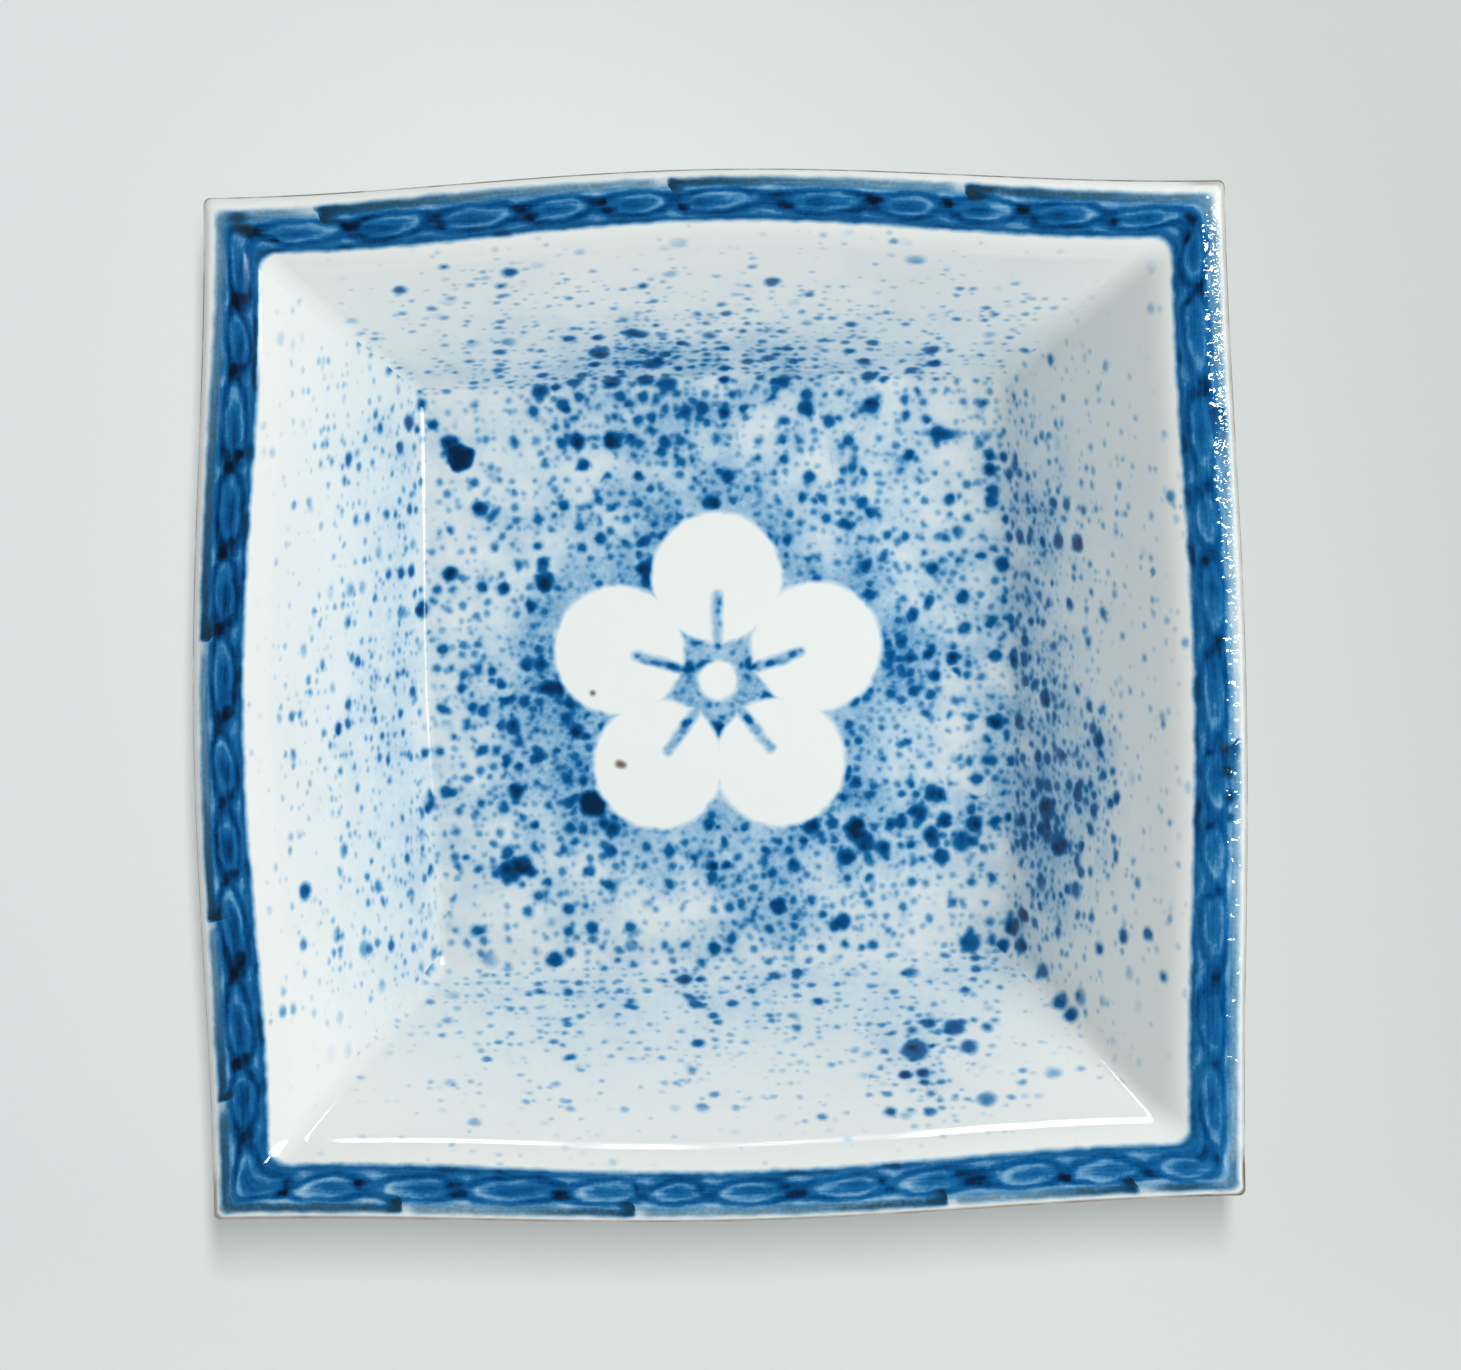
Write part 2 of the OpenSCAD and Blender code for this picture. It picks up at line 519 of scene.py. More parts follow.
    @property
    def band_start_angle(self) -> float:
        """Angle round the bend at which the border band begins, so that it is as wide as it should be."""
        bend_end = self.bend_centre - right_of(self.lip_dir) * self.bend_radius
        flat = float(np.linalg.norm(self.band_end - bend_end))
        turn = (self.band_width - flat) / self.bend_radius
        return math.pi / 2.0 + min(self.lip_angle + turn, self.wall_angle)

    @property
    def edging_angle(self) -> float:
        """Angle that the edging line covers to either side of the middle of the edge."""
        return self.edging_share * math.pi / 2.0

    def swell(self, distance: Array, side: Side) -> Array:
        """How far the middle of a side swells out, at a distance from the centre."""
        bend = self.lip_bend[0]
        wall, rim = self.wall_swells[side.value], self.rim_swells[side.value]
        return np.interp(distance, [self.seam, bend, self.half], [self.floor_swell, wall, rim])

    def corner(self, distance: Array) -> Array:
        """Radius of the plan's corners: crisp up the wall, softer where it bends, crisp at the tip.

        Args:
            distance: Distances from the centre to the straight part of a side.

        Returns:
            A radius for each distance; it grows with the cube of the way up the wall.
        """
        bend = self.lip_bend[0]
        up = np.clip((distance - self.seam) / (bend - self.seam), 0.0, 1.0) ** 3
        out = np.clip((distance - bend) / self.lip_width, 0.0, 1.0)
        inside = self.floor_radius + (self.shoulder_radius - self.floor_radius) * up
        return inside + (self.tip_radius - self.shoulder_radius) * out

    def stations(self) -> tuple[Array, Array]:
        """Places along a side, from the mitre at its left end to the mitre at its right end.

        Returns:
            For each station its share of the straight stretch, from -1 to 1, and its angle round the
            corner in radians, which is zero along the straight stretch.
        """
        straight = np.linspace(-1.0, 1.0, 2 * self.side_steps + 1)
        corner = eased_ends(self.corner_steps)[1:] * math.pi / 4.0
        share = np.concatenate([np.full(corner.size, -1.0), straight, np.full(corner.size, 1.0)])
        angle = np.concatenate([-corner[::-1], np.zeros(straight.size), corner])
        return share, angle

    def carried(self, section: Array, side: Side) -> Array:
        """Carry a section along one side of the plan.

        A side is a straight line with a raised-cosine swell, which runs out level where the rounded
        corners begin. The front side is worked out and turned to where the side stands.

        Args:
            section: Points of distance from the centre and height.
            side: Which side of the dish.

        Returns:
            Points by station and place in the section, in millimetres.
        """
        share, angle = (values[:, None] for values in self.stations())
        distance = section[None, :, 0]
        radius = self.corner(distance)
        straight = distance - radius
        bulge = self.swell(distance, side) * (1.0 + np.cos(math.pi * share)) / 2.0
        x = share * straight + radius * np.sin(angle)
        y = -(straight + bulge + radius * np.cos(angle))
        z = np.broadcast_to(section[None, :, 1], x.shape)
        turn = side.value * math.pi / 2.0
        turned_x = x * math.cos(turn) - y * math.sin(turn)
        turned_y = x * math.sin(turn) + y * math.cos(turn)
        return self.settling.settle(np.stack([turned_x, turned_y, z], axis=-1), self)

    def all_round(self, section: Array) -> Array:
        """Carry a section along all four sides, without repeating the mitres."""
        return np.concatenate([self.carried(section, side)[:-1] for side in Side])

    @property
    def band_middle(self) -> float:
        """Distance from the centre to the middle of the border band."""
        return float(self.band_face(0.0)[[0, -1], 0].mean())

    def way_round(self, distance: Array, side: Side) -> Array:
        """Share of the way round the dish, from the mitre at which the front side begins.

        Along most of a side it is measured square to the side; towards the corners it fans out until it
        meets the mitre.

        Args:
            distance: Distances from the centre to the straight part of a side.
            side: Which side of the dish.

        Returns:
            Shares of 0 to 1 by station and distance.
        """
        share, angle = (values[:, None] for values in self.stations())
        radius = float(self.corner(np.array(self.band_middle)))
        reach = self.band_middle - radius
        fan = np.clip((np.abs(share) - self.fan_start) / (1.0 - self.fan_start), 0.0, 1.0)
        own = distance - self.corner(distance)
        along = share * (own + (reach - own) * fan) + radius * angle
        length = 2.0 * reach + radius * math.pi / 2.0
        return (side.value + 0.5 + along / length) / len(Side)

    def way_across(self, distance: Array) -> Array:
        """Share of the way across the border band: 0 at its inner edge, 1 at its outer edge, and beyond."""
        face = self.band_face(0.0)
        lengths = np.linalg.norm(np.diff(face, axis=0), axis=1)
        across = np.concatenate([[0.0], np.cumsum(lengths)]) / lengths.sum()
        beyond = 10.0
        places = np.concatenate([[face[0, 0] - beyond], face[:, 0], [face[-1, 0] + beyond]])
        steep = (across[1] - across[0]) / (face[1, 0] - face[0, 0])
        flat = 1.0 / lengths.sum()
        return np.interp(distance, places, np.concatenate([[-beyond * steep], across, [1.0 + beyond * flat]]))

    def paint_map(self, section: Array, side: Side) -> Array:
        """Where points of a section lie on the border: how far round it and how far across it."""
        distance = section[:, 0]
        u = self.way_round(distance[None, :], side)
        v = np.broadcast_to(self.way_across(distance), u.shape)
        return np.stack([u, v], axis=-1)

    def band_face(self, depth: float) -> Array:
        """Face of the lip under the border band, sunk to a depth below the glaze."""
        bend = arc(
            self.bend_centre,
            self.bend_radius - depth,
            self.band_start_angle,
            math.pi / 2.0 + self.lip_angle,
            2 * self.arc_steps,
        )
        return np.vstack([bend, self.band_end + right_of(self.lip_dir) * depth])

    def edging_face(self, depth: float) -> Array:
        """Rounded edge under the edging line, sunk to a depth below the glaze."""
        start, end = self.lip_angle + self.edging_angle, self.lip_angle - self.edging_angle
        return arc(self.edge_centre, self.edge_radius - depth, start, end, self.arc_steps)

    def wall_inside(self) -> Array:
        """Face of a wall that is seen from above: up from the floor and over the lip to the edging."""
        flat = np.array([1.0, 0.0])
        quarter = math.pi / 2.0
        lower_bend = arc(
            self.bend_centre,
            self.bend_radius,
            self.wall_angle + quarter,
            self.band_start_angle,
            self.arc_steps,
        )
        upper_edge = arc(
            self.edge_centre,
            self.edge_radius,
            self.lip_angle + quarter,
            self.lip_angle + self.edging_angle,
            self.arc_steps,
        )
        return np.vstack(
            [
                [self.seam, self.z_floor],
                rounded(self.wall_foot, flat, self.wall_dir, self.glazed_crease_radius, self.arc_steps),
                lower_bend,
                self.band_face(self.coat),
                self.band_end,
                upper_edge,
            ]
        )

    def wall_outside(self) -> Array:
        """Rest of a wall's section: the edging's groove, under the lip and down its outer face."""
        flat = np.array([1.0, 0.0])
        quarter = math.pi / 2.0
        lower_edge = arc(
            self.edge_centre,
            self.edge_radius,
            self.lip_angle - self.edging_angle,
            self.lip_angle - quarter,
            self.arc_steps,
        )
        under = rounded(self.under_lip, -self.lip_dir, -self.wall_dir, self.under_lip_radius, self.arc_steps)
        heel = rounded(self.heel, -self.wall_dir, -flat, self.heel_radius, self.arc_steps)
        return np.vstack([self.edging_face(self.coat), lower_edge, under, heel, [self.seam, self.z_under]])


def unit(vector: Array) -> Array:
    """A vector of length one in the same direction."""
    return vector / np.linalg.norm(vector)


def right_of(direction: Array) -> Array:
    """Direction a quarter turn to the right, which points into the clay on the way up a section."""
    return np.array([direction[1], -direction[0]])


def crossing(first: Array, along: Array, second: Array, across: Array) -> Array:
    """Point where two lines meet.

    Args:
        first: A point of the first line.
        along: The first line's direction.
        second: A point of the second line.
        across: The second line's direction.

    Returns:
        The point that both lines share.
    """
    gap = second - first
    share = (gap[0] * across[1] - gap[1] * across[0]) / (along[0] * across[1] - along[1] * across[0])
    return first + along * share


def eased_ends(steps: int) -> Array:
    """Shares from 0 to 1, with an extra one hard by each end so that the shading there is true."""
    hair = 0.004
    return np.unique(np.concatenate([np.linspace(0.0, 1.0, steps + 1), [hair / steps, 1.0 - hair / steps]]))


def arc(centre: Array, radius: float, start: float, end: float, steps: int) -> Array:
    """Points of an arc about a centre.

    Args:
        centre: Centre of the arc.
        radius: Radius of the arc.
        start: Angle in radians at which it starts.
        end: Angle in radians at which it ends.
        steps: Number of straight steps.

    Returns:
        The points, one per row.
    """
    angle = start + (end - start) * eased_ends(steps)
    return centre + radius * np.stack([np.cos(angle), np.sin(angle)], axis=-1)


def rounded(corner: Array, arriving: Array, leaving: Array, radius: float, steps: int) -> Array:
    """Points that round a corner of a section.

    Args:
        corner: The sharp corner.
        arriving: Direction of the line that comes in.
        leaving: Direction of the line that goes out.
        radius: Radius of the rounding.
        steps: Number of straight steps.

    Returns:
        Points of the arc that touches both lines.
    """
    turn = math.atan2(arriving[0] * leaving[1] - arriving[1] * leaving[0], float(arriving @ leaving))
    towards = -right_of(arriving) * math.copysign(1.0, turn)
    centre = corner - arriving * radius * math.tan(abs(turn) / 2.0) + towards * radius
    start = math.atan2(-towards[1], -towards[0])
    return arc(centre, radius, start, start + turn, steps)


@dataclass
class Surface:
    """A closed piece made of a grid of points: rows along its path, columns round its section."""

    name: str
    points: Array
    ring: bool
    poles: bool = False
    sharp_angle: float = 38.0

    def faces(self) -> list[Any]:
        """Quads between neighbouring rows and columns, and a flat cap at each end of an open path."""
        rows, columns = self.points.shape[:2]
        row = np.arange(rows if self.ring else rows - 1)[:, None]
        column = np.arange(columns - 1 if self.poles else columns)[None, :]
        after, beside = (row + 1) % rows, (column + 1) % columns
        first, second = row * columns, after * columns
        corners = np.broadcast_arrays(first + column, first + beside, second + beside, second + column)
        quads = np.stack(corners, axis=-1).reshape(-1, 4)
        found = quads.tolist()
        if not self.ring:
            found.append(np.arange(columns)[::-1].tolist())
            found.append((np.arange(columns) + (rows - 1) * columns).tolist())
        return found

    def build(self, finish: bpy.types.Material, paint_maps: tuple[Array, ...] = ()) -> bpy.types.Object:
        """Put the grid into a mesh and link it to the scene.

        Args:
            finish: The piece's material.
            paint_maps: Where the points lie on the border, stretch by stretch along the path.

        Returns:
            The new object, at the origin.
        """
        mesh = bpy.data.meshes.new(self.name)
        mesh.from_pydata((self.points.reshape(-1, 3) * MM).tolist(), [], self.faces())
        if self.poles:
            close_poles(mesh)
        made = dressed(mesh, finish, self.sharp_angle)
        if paint_maps:
            lay_map(mesh, paint_maps)
        return made


def lay_map(mesh: bpy.types.Mesh, paint_maps: tuple[Array, ...]) -> None:
    """Write the border's map to a mesh whose quads come first, row by row; caps are left off the border.

    Args:
        mesh: The mesh of a grid.
        paint_maps: Map values by station and place in the section, stretch by stretch along the path.
    """
    corners = []
    for values in paint_maps:
        beside = np.roll(values, -1, axis=1)
        corners.append(np.stack([values[:-1], beside[:-1], beside[1:], values[1:]], axis=2).reshape(-1, 2))
    laid = np.concatenate(corners)
    written = np.full((len(mesh.loops), 2), OFF_BORDER)
    written[: len(laid)] = laid
    mesh.uv_layers.new(name=BORDER_MAP).data.foreach_set("uv", written.ravel())


def close_poles(mesh: bpy.types.Mesh) -> None:
    """Merge the points that meet in the middle of a disc, so that its inmost quads become triangles."""
    work = bmesh.new()
    work.from_mesh(mesh)
    bmesh.ops.remove_doubles(work, verts=work.verts[:], dist=1e-4 * MM)
    work.to_mesh(mesh)
    work.free()


def dressed(mesh: bpy.types.Mesh, finish: bpy.types.Material, sharp_angle: float) -> bpy.types.Object:
    """Shade a mesh smooth up to an angle, give it a material and link it to the scene.

    Args:
        mesh: The mesh, whose name becomes the object's.
        finish: The material.
        sharp_angle: Edges sharper than this many degrees stay sharp.

    Returns:
        The new object, at the origin.
    """
    mesh.validate()
    mesh.polygons.foreach_set("use_smooth", np.ones(len(mesh.polygons), dtype=bool))
    mesh.set_sharp_from_angle(angle=math.radians(sharp_angle))
    mesh.materials.append(finish)
    made = bpy.data.objects.new(mesh.name, mesh)
    gathered(Group.DISH).objects.link(made)
    return made


def hand_over(piece: bpy.types.Object, node: str) -> None:
    """Let a piece stand for a solid and ride with the dish.

    Args:
        piece: The dressed piece.
        node: The solid that it replaces.
    """
    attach(piece, BODY)
    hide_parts(node)
    LOG.info("%s: %d faces, replaces %s", piece.name, len(piece.data.polygons), node)


@dataclass(frozen=True)
class Cobalt:
    """Cobalt blue under a clear glaze: its colour by how thickly it lies, from bare porcelain to pooled."""

    bare: Colour = srgb(240, 244, 241)
    stops: tuple[tuple[float, Colour], ...] = (
        (0.10, srgb(208, 225, 233)),
        (0.24, srgb(164, 199, 222)),
        (0.42, srgb(98, 157, 199)),
        (0.58, srgb(26, 108, 165)),
        (0.74, srgb(0, 79, 138)),
        (0.88, srgb(0, 44, 82)),
        (1.00, srgb(0, 20, 44)),
    )

    def colour(self, shader: Shader, thickness: Value) -> Value:
        """Colour of the glazed surface for a thickness of 0 to 1."""
        stops = [(0.0, self.bare), *self.stops]
        return shader.node("ShaderNodeValToRGB", {"stops": stops}, {"Fac": thickness})


@dataclass(frozen=True)
class Glaze:
    """Clear glossy glaze over porcelain: faint swell of the surface and fine unevenness of its gloss."""

    roughness: float = 0.06
    swell_size: float = 9.0
    swell_height: float = 0.02
    pit_size: float = 0.5
    pit_height: float = 0.0
    sheen_size: float = 3.0
    sheen_range: float = 0.03
    index: float = 1.5

    def shade(self, shader: Shader, place: Value, colour: Value, pitted: Operand = 1.0) -> Value:
        """Make the glazed surface.

        Args:
            shader: The material's shader.
            place: Coordinates in millimetres.
            colour: Colour under the glaze.
            pitted: Share of the pits' height that is there.

        Returns:
            The shader's output.
        """
        height = shader.noise(place, self.swell_size, 1.0) * self.swell_height
        if self.pit_height:
            height = height + shader.noise(place, self.pit_size, 1.0) * self.pit_height * pitted
        normal = shader.node("ShaderNodeBump", None, {"Strength": 1.0, "Distance": MM, "Height": height})
        uneven = (shader.noise(place, self.sheen_size) - 0.5) * self.sheen_range
        roughness = uneven + self.roughness
        return shader.node(
            "ShaderNodeBsdfPrincipled",
            None,
            {"Base Color": colour, "Roughness": roughness, "IOR": self.index, "Normal": normal},
        )


@dataclass(frozen=True)
class Drops:
    """One size of blown drops, round on the floor and on the slope of the walls."""

    cell: float
    smallest: float
    largest: float
    thin: float
    thick: float
    presence: float
    shift: tuple[float, float, float]
    blur: float
    spread: float
    scatter: float = 0.85
    edge_share: float = 0.62

    def thickness(self, shader: Shader, place: Value, density: Value, wide: Value) -> Value:
        """Thickness of the colour that the drops leave.

        Each cell of a flat Voronoi texture holds one drop. A random number per cell gives its radius, and
        another decides whether it is there, which happens more often where the density is higher.

        Args:
            shader: The material's shader.
            place: Coordinates in millimetres.
            density: How thickly the drops are strewn, 0 to 1.
            wide: One over the well, easing to zero towards the rim; small drops are carried as far as that.

        Returns:
            Thickness of 0 to 1.
        """
        moved = shader.moved(place, self.shift)
        strewn = density + wide * self.spread
        nearest = self._drop(shader, moved, strewn, "F1")
        return nearest.at_least(self._drop(shader, moved, strewn, "F2"))

    def _drop(self, shader: Shader, place: Value, density: Value, feature: str) -> Value:
        """Thickness of the nearest drop, or of the second nearest, which may reach over its cell's border."""
        settings = {"feature": feature, "voronoi_dimensions": "2D"}
        inputs = {"Vector": place, "Scale": 1.0 / self.cell, "Randomness": self.scatter}
        distance = shader.node("ShaderNodeTexVoronoi", settings, inputs, "Distance")
        chance = shader.node("ShaderNodeSeparateColor", None, {0: distance.sibling("Color")}, "Red")
        second = chance.sibling("Green")
        radius = self.smallest + (self.largest - self.smallest) * chance ** 1.5
        there = (density * self.presence - second).ease(0.0, 0.14)
        away = distance * self.cell
        inside = away.ease(radius + self.blur / 2.0, radius - self.blur / 2.0)
        dome = (1.0 - (away / radius) ** 2.0).at_least(0.0)
        body = (self.thin + (self.thick - self.thin) * chance) * (0.75 + 0.25 * density.ease(0.05, 0.5))
        return inside * there * body * (self.edge_share + (1.0 - self.edge_share) * dome)


@dataclass(frozen=True)
class Drop:
    """One drop large enough to be placed one by one: its centre on the glaze, its radius and its strength."""

    x: float
    y: float
    z: float
    radius: float
    strength: float = 0.90
    blur: float = 0.80
    edge_share: float = 0.76

    def thickness(self, shader: Shader, place: Value) -> Value:
        """Thickness of the colour that the drop leaves."""
        away = shader.vector("DISTANCE", place, (self.x, self.y, self.z)).sibling("Value")
        inside = away.ease(self.radius + self.blur / 2.0, self.radius - self.blur / 2.0)
        dome = away.ease(self.radius * 1.1, 0.0)
        return inside * (self.edge_share + (1.0 - self.edge_share) * dome) * self.strength


@dataclass(frozen=True)
class Puff:
    """One breath of blown colour, thickest in its middle: its place on the plan, reach and strength."""

    x: float
    y: float
    reach: float
    strength: float

    def density(self, shader: Shader, plan: Value) -> Value:
        """How much the puff adds to the density of the drops."""
        away = shader.vector("DISTANCE", plan, (self.x, self.y, 0.0)).sibling("Value")
        return away.ease(self.reach, 0.0) * self.strength


@dataclass(frozen=True)
class Blossom:
    """White five-petalled blossom that a paper stencil kept clear of the blown colour."""

    x: float = 0.5
    y: float = -0.7
    petals: int = 5
    petal_reach: float = 9.9
    petal_radius: float = 6.3
    heart_radius: float = 2.0
    heart_gap: float = 1.3
    slit_end: float = 8.2
    slit_width: float = 0.45
    blur: float = 0.75

    def edge(self, shader: Shader, plan_x: Value, plan_y: Value) -> Value:
        """Distance outside the blossom in millimetres, negative inside.

        The plan is folded so that all petals fall on one. A petal is a disc; a ring about the heart and a
        slit along each petal are taken away, and the heart is a smaller disc.

        Args:
            shader: The material's shader.
            plan_x: Distance to the right.
            plan_y: Distance to the back.

        Returns:
            The signed distance.
        """
        x, y = plan_x - self.x, plan_y - self.y
        radius = (x * x + y * y).root()
        sector = 2.0 * math.pi / self.petals
        angle = shader.math("ARCTAN2", x, y) / sector
        folded = abs((angle + 0.5).fraction() - 0.5) * sector
        along, across = radius * folded.cosine(), radius * folded.sine()
        centre_off = along - self.petal_reach
        petal = (centre_off * centre_off + across * across).root() - self.petal_radius
        slit_off = (along - self.slit_end).at_least(0.0)
        slit = (slit_off * slit_off + across * across).root() - self.slit_width
        ring = radius - (self.heart_radius + self.heart_gap)
        white = petal.at_least(-slit).at_least(-ring)
        return white.at_most(radius - self.heart_radius)


@dataclass(frozen=True)
class SplatterGlaze:
    """Porcelain with cobalt blown over a stencil: mist, drops of several sizes, a blossom, iron specks."""

    cobalt: Cobalt = field(default_factory=Cobalt)
    seeped_brown: Colour = srgb(112, 92, 68)
    speck_brown: Colour = srgb(84, 62, 46)
    glaze: Glaze = field(default_factory=lambda: Glaze(pit_size=0.80, pit_height=0.11))
    blossom: Blossom = field(default_factory=Blossom)
    floor_height: float = 9.0
    wall_slope: float = math.radians(54.0)
    outside_height: float = 8.0
    rim_height: float = 20.0
    smear: float = 1.45
    well_fade: tuple[float, float] = (48.0, 26.0)
    haze_fade: tuple[float, float] = (49.0, 11.0)
    halo_fade: tuple[float, float] = (6.5, -0.5)
    cloud_size: float = 16.0
    clump_size: float = 4.2
    layers: tuple[Drops, ...] = (
        Drops(0.95, 0.16, 0.38, 0.10, 0.30, 0.80, (11.3, 4.1, 0.0), 0.44, 0.24),
        Drops(1.30, 0.24, 0.50, 0.18, 0.50, 0.85, (3.9, 21.7, 0.0), 0.54, 0.18),
        Drops(1.95, 0.36, 0.70, 0.34, 0.68, 0.80, (31.1, 9.2, 0.0), 0.66, 0.10),
        Drops(3.10, 0.50, 0.96, 0.48, 0.80, 0.50, (8.6, 2.8, 0.0), 0.76, 0.05),
    )
    puffs: tuple[Puff, ...] = (
        Puff(-15.0, -3.0, 12.0, 0.60),
        Puff(-14.0, -12.0, 9.0, 0.30),
        Puff(-6.0, 23.0, 12.0, 0.60),
        Puff(1.0, 28.5, 9.0, 0.40),
        Puff(10.0, 27.0, 8.0, 0.40),
        Puff(18.0, 28.5, 7.0, 0.20),
        Puff(14.0, -15.5, 9.0, 0.35),
        Puff(22.0, -14.0, 8.0, 0.30),
        Puff(30.0, 17.0, 7.0, 0.45),
        Puff(30.0, 10.0, 7.0, 0.45),
        Puff(30.0, 3.0, 7.0, 0.50),
        Puff(30.0, -4.0, 7.0, 0.50),
        Puff(30.5, -12.0, 11.0, 0.65),
        Puff(31.5, -18.0, 7.0, 0.35),
        Puff(29.0, -25.0, 8.0, 0.40),
        Puff(-22.0, -14.0, 9.0, 0.25),
        Puff(18.5, -35.5, 7.0, 0.35),
        Puff(7.0, -24.5, 6.0, 0.40),
        Puff(-9.0, 32.0, 8.0, 0.30),
        Puff(13.0, 18.0, 12.0, 0.25),
        Puff(-34.5, -4.0, 9.0, 0.15),
        Puff(3.0, -22.0, 10.0, 0.60),
        Puff(22.0, 2.0, 10.0, 0.45),
        Puff(33.0, -8.0, 8.0, 0.30),
    )
    drops: tuple[Drop, ...] = (
        Drop(-23.7, 21.1, 9.0, 1.30, 1.0, 0.5),
        Drop(-11.7, -12.3, 9.0, 1.30, 1.0, 0.6),
        Drop(-19.7, -18.7, 9.0, 1.20, 0.78),
        Drop(13.4, -15.2, 9.0, 0.95, 0.83),
        Drop(14.3, -16.6, 9.0, 1.05, 0.78),
        Drop(16.0, -17.2, 9.0, 0.80, 0.74),
        Drop(19.6, -13.9, 9.0, 0.85, 0.74),
        Drop(20.7, -15.9, 9.0, 0.80, 0.78),
        Drop(22.0, -14.5, 9.0, 0.75, 0.78),
        Drop(23.6, -16.7, 9.0, 1.05, 0.7),
        Drop(24.3, -26.6, 9.0, 1.05, 0.7),
        Drop(-15.9, 9.2, 9.0, 0.95, 0.83),
        Drop(-14.6, 2.5, 9.0, 0.90, 0.78),
        Drop(-39.1, -17.9, 24.1, 0.85, 0.78),
        Drop(31.5, -13.2, 13.2, 1.10, 0.74),
        Drop(32.4, -16.2, 14.6, 1.15, 0.7),
        Drop(33.9, -20.5, 16.7, 0.80, 0.6),
        Drop(35.9, -25.7, 19.6, 0.60, 0.78),
        Drop(37.9, -24.1, 22.3, 0.70, 0.74),
        Drop(40.0, -23.5, 25.1, 0.65, 0.74),
        Drop(41.3, -27.3, 26.9, 0.50, 0.7),
        Drop(18.3, -35.2, 18.9, 1.30, 0.74),
        Drop(19.8, -33.1, 16.3, 0.65, 0.7),
        Drop(22.2, -33.4, 16.9, 1.05, 0.78),
        Drop(23.4, -35.0, 19.0, 0.90, 0.7),
        Drop(25.3, -33.4, 17.1, 0.55, 0.6),
        Drop(19.0, -37.0, 21.2, 0.65, 0.7),
        Drop(24.7, -39.1, 24.3, 0.90, 0.55),
        Drop(15.6, -40.0, 24.7, 0.50, 0.74),
        Drop(31.2, -37.1, 22.1, 0.70, 0.35),
        Drop(-18.9, 40.0, 25.3, 0.75, 0.74),
        Drop(-19.7, 38.6, 23.6, 0.50, 0.6),
        Drop(-25.0, 40.7, 26.8, 0.45, 0.6),
        Drop(-29.1, 38.4, 24.2, 0.70, 0.74),
        Drop(-6.5, 38.2, 22.0, 0.50, 0.7),
        Drop(5.6, 38.4, 22.2, 0.70, 0.74),
        Drop(-0.1, 32.9, 15.0, 0.70, 0.55),
        Drop(-7.4, 33.3, 15.8, 0.75, 0.74),
        Drop(-10.5, 31.3, 13.5, 0.95, 0.74),
        Drop(-5.3, 29.9, 11.4, 0.95, 0.74),
        Drop(-3.9, 27.8, 9.1, 0.90, 0.7),
        Drop(7.1, 27.9, 9.1, 0.80, 0.74),
        Drop(-16.0, 27.4, 9.1, 0.85, 0.78),
        Drop(-28.5, 24.7, 10.5, 0.80, 0.78),
        Drop(-27.3, 26.2, 9.1, 0.55, 0.7),
        Drop(28.4, -25.0, 9.5, 0.90, 0.8),
        Drop(29.1, -26.8, 10.4, 0.75, 0.8),
        Drop(31.0, -28.8, 13.0, 0.80, 0.7),
        Drop(32.5, -31.4, 15.4, 0.90, 0.7),
        Drop(33.4, -32.5, 16.7, 0.80, 0.75),
    )
    specks: tuple[Drop, ...] = (
        Drop(-9.1, -8.6, 9.0, 0.42, 0.9, 0.45),
        Drop(-8.7, -8.7, 9.0, 0.36, 0.8, 0.45),
        Drop(-11.5, -1.7, 9.0, 0.30, 0.9, 0.4),
    )

    def make(self, border: BorderPaint) -> bpy.types.Material:
        """Make the material: colour held back by the blossom, and the border where it runs past its band.

        Args:
            border: The border's paint.

        Returns:
            The material.
        """
        made, shader = material("porcelain_glaze")
        place = shader.place()
        x = shader.node("ShaderNodeSeparateXYZ", None, {0: place}, "X")
        y, z = x.sibling("Y"), x.sibling("Z")
        coat = border.lay(shader, place)
        rim = z.above(self.rim_height)
        well = z.above(self.outside_height) * coat.v.above(OFF_BORDER / 2.0)
        blown = self.blown(shader, place, x, y, z) * well * (1.0 - rim * coat.v.ease(-0.15, 0.0))
        colour = self.cobalt.colour(shader, blown.at_least(coat.thickness * rim))
        colour = shader.mix(colour, coat.smoky, coat.smoke * rim)
        colour = shader.mix(colour, self.seeped_brown, coat.seeped * rim)
        for speck in self.specks:
            colour = shader.mix(colour, self.speck_brown, speck.thickness(shader, place))
        shader.finish(self.glaze.shade(shader, place, colour, coat.pitted * rim))
        return made

    def unrolled(self, shader: Shader, x: Value, y: Value, z: Value) -> Value:
        """Place on the glaze with the walls folded flat, so that what is round there is round on the slope.

        A wall's point lies as far out as it is away along the slope: by its rise above the floor, times the
        tangent of half the slope, more than on the plan. The smear takes it further, so that drops which hit
        the slope run out along the wall.

        Args:
            shader: The material's shader.
            x: Distance to the right.
            y: Distance to the back.
            z: Height.

        Returns:
            The place, in millimetres.
        """
        further = (z - self.floor_height).at_least(0.0) * math.tan(self.wall_slope / 2.0) * self.smear
        sideways = abs(x).above(abs(y))
        out_x = x + x.sign() * further * sideways
        out_y = y + y.sign() * further * (1.0 - sideways)
        return shader.node("ShaderNodeCombineXYZ", None, {"X": out_x, "Y": out_y})

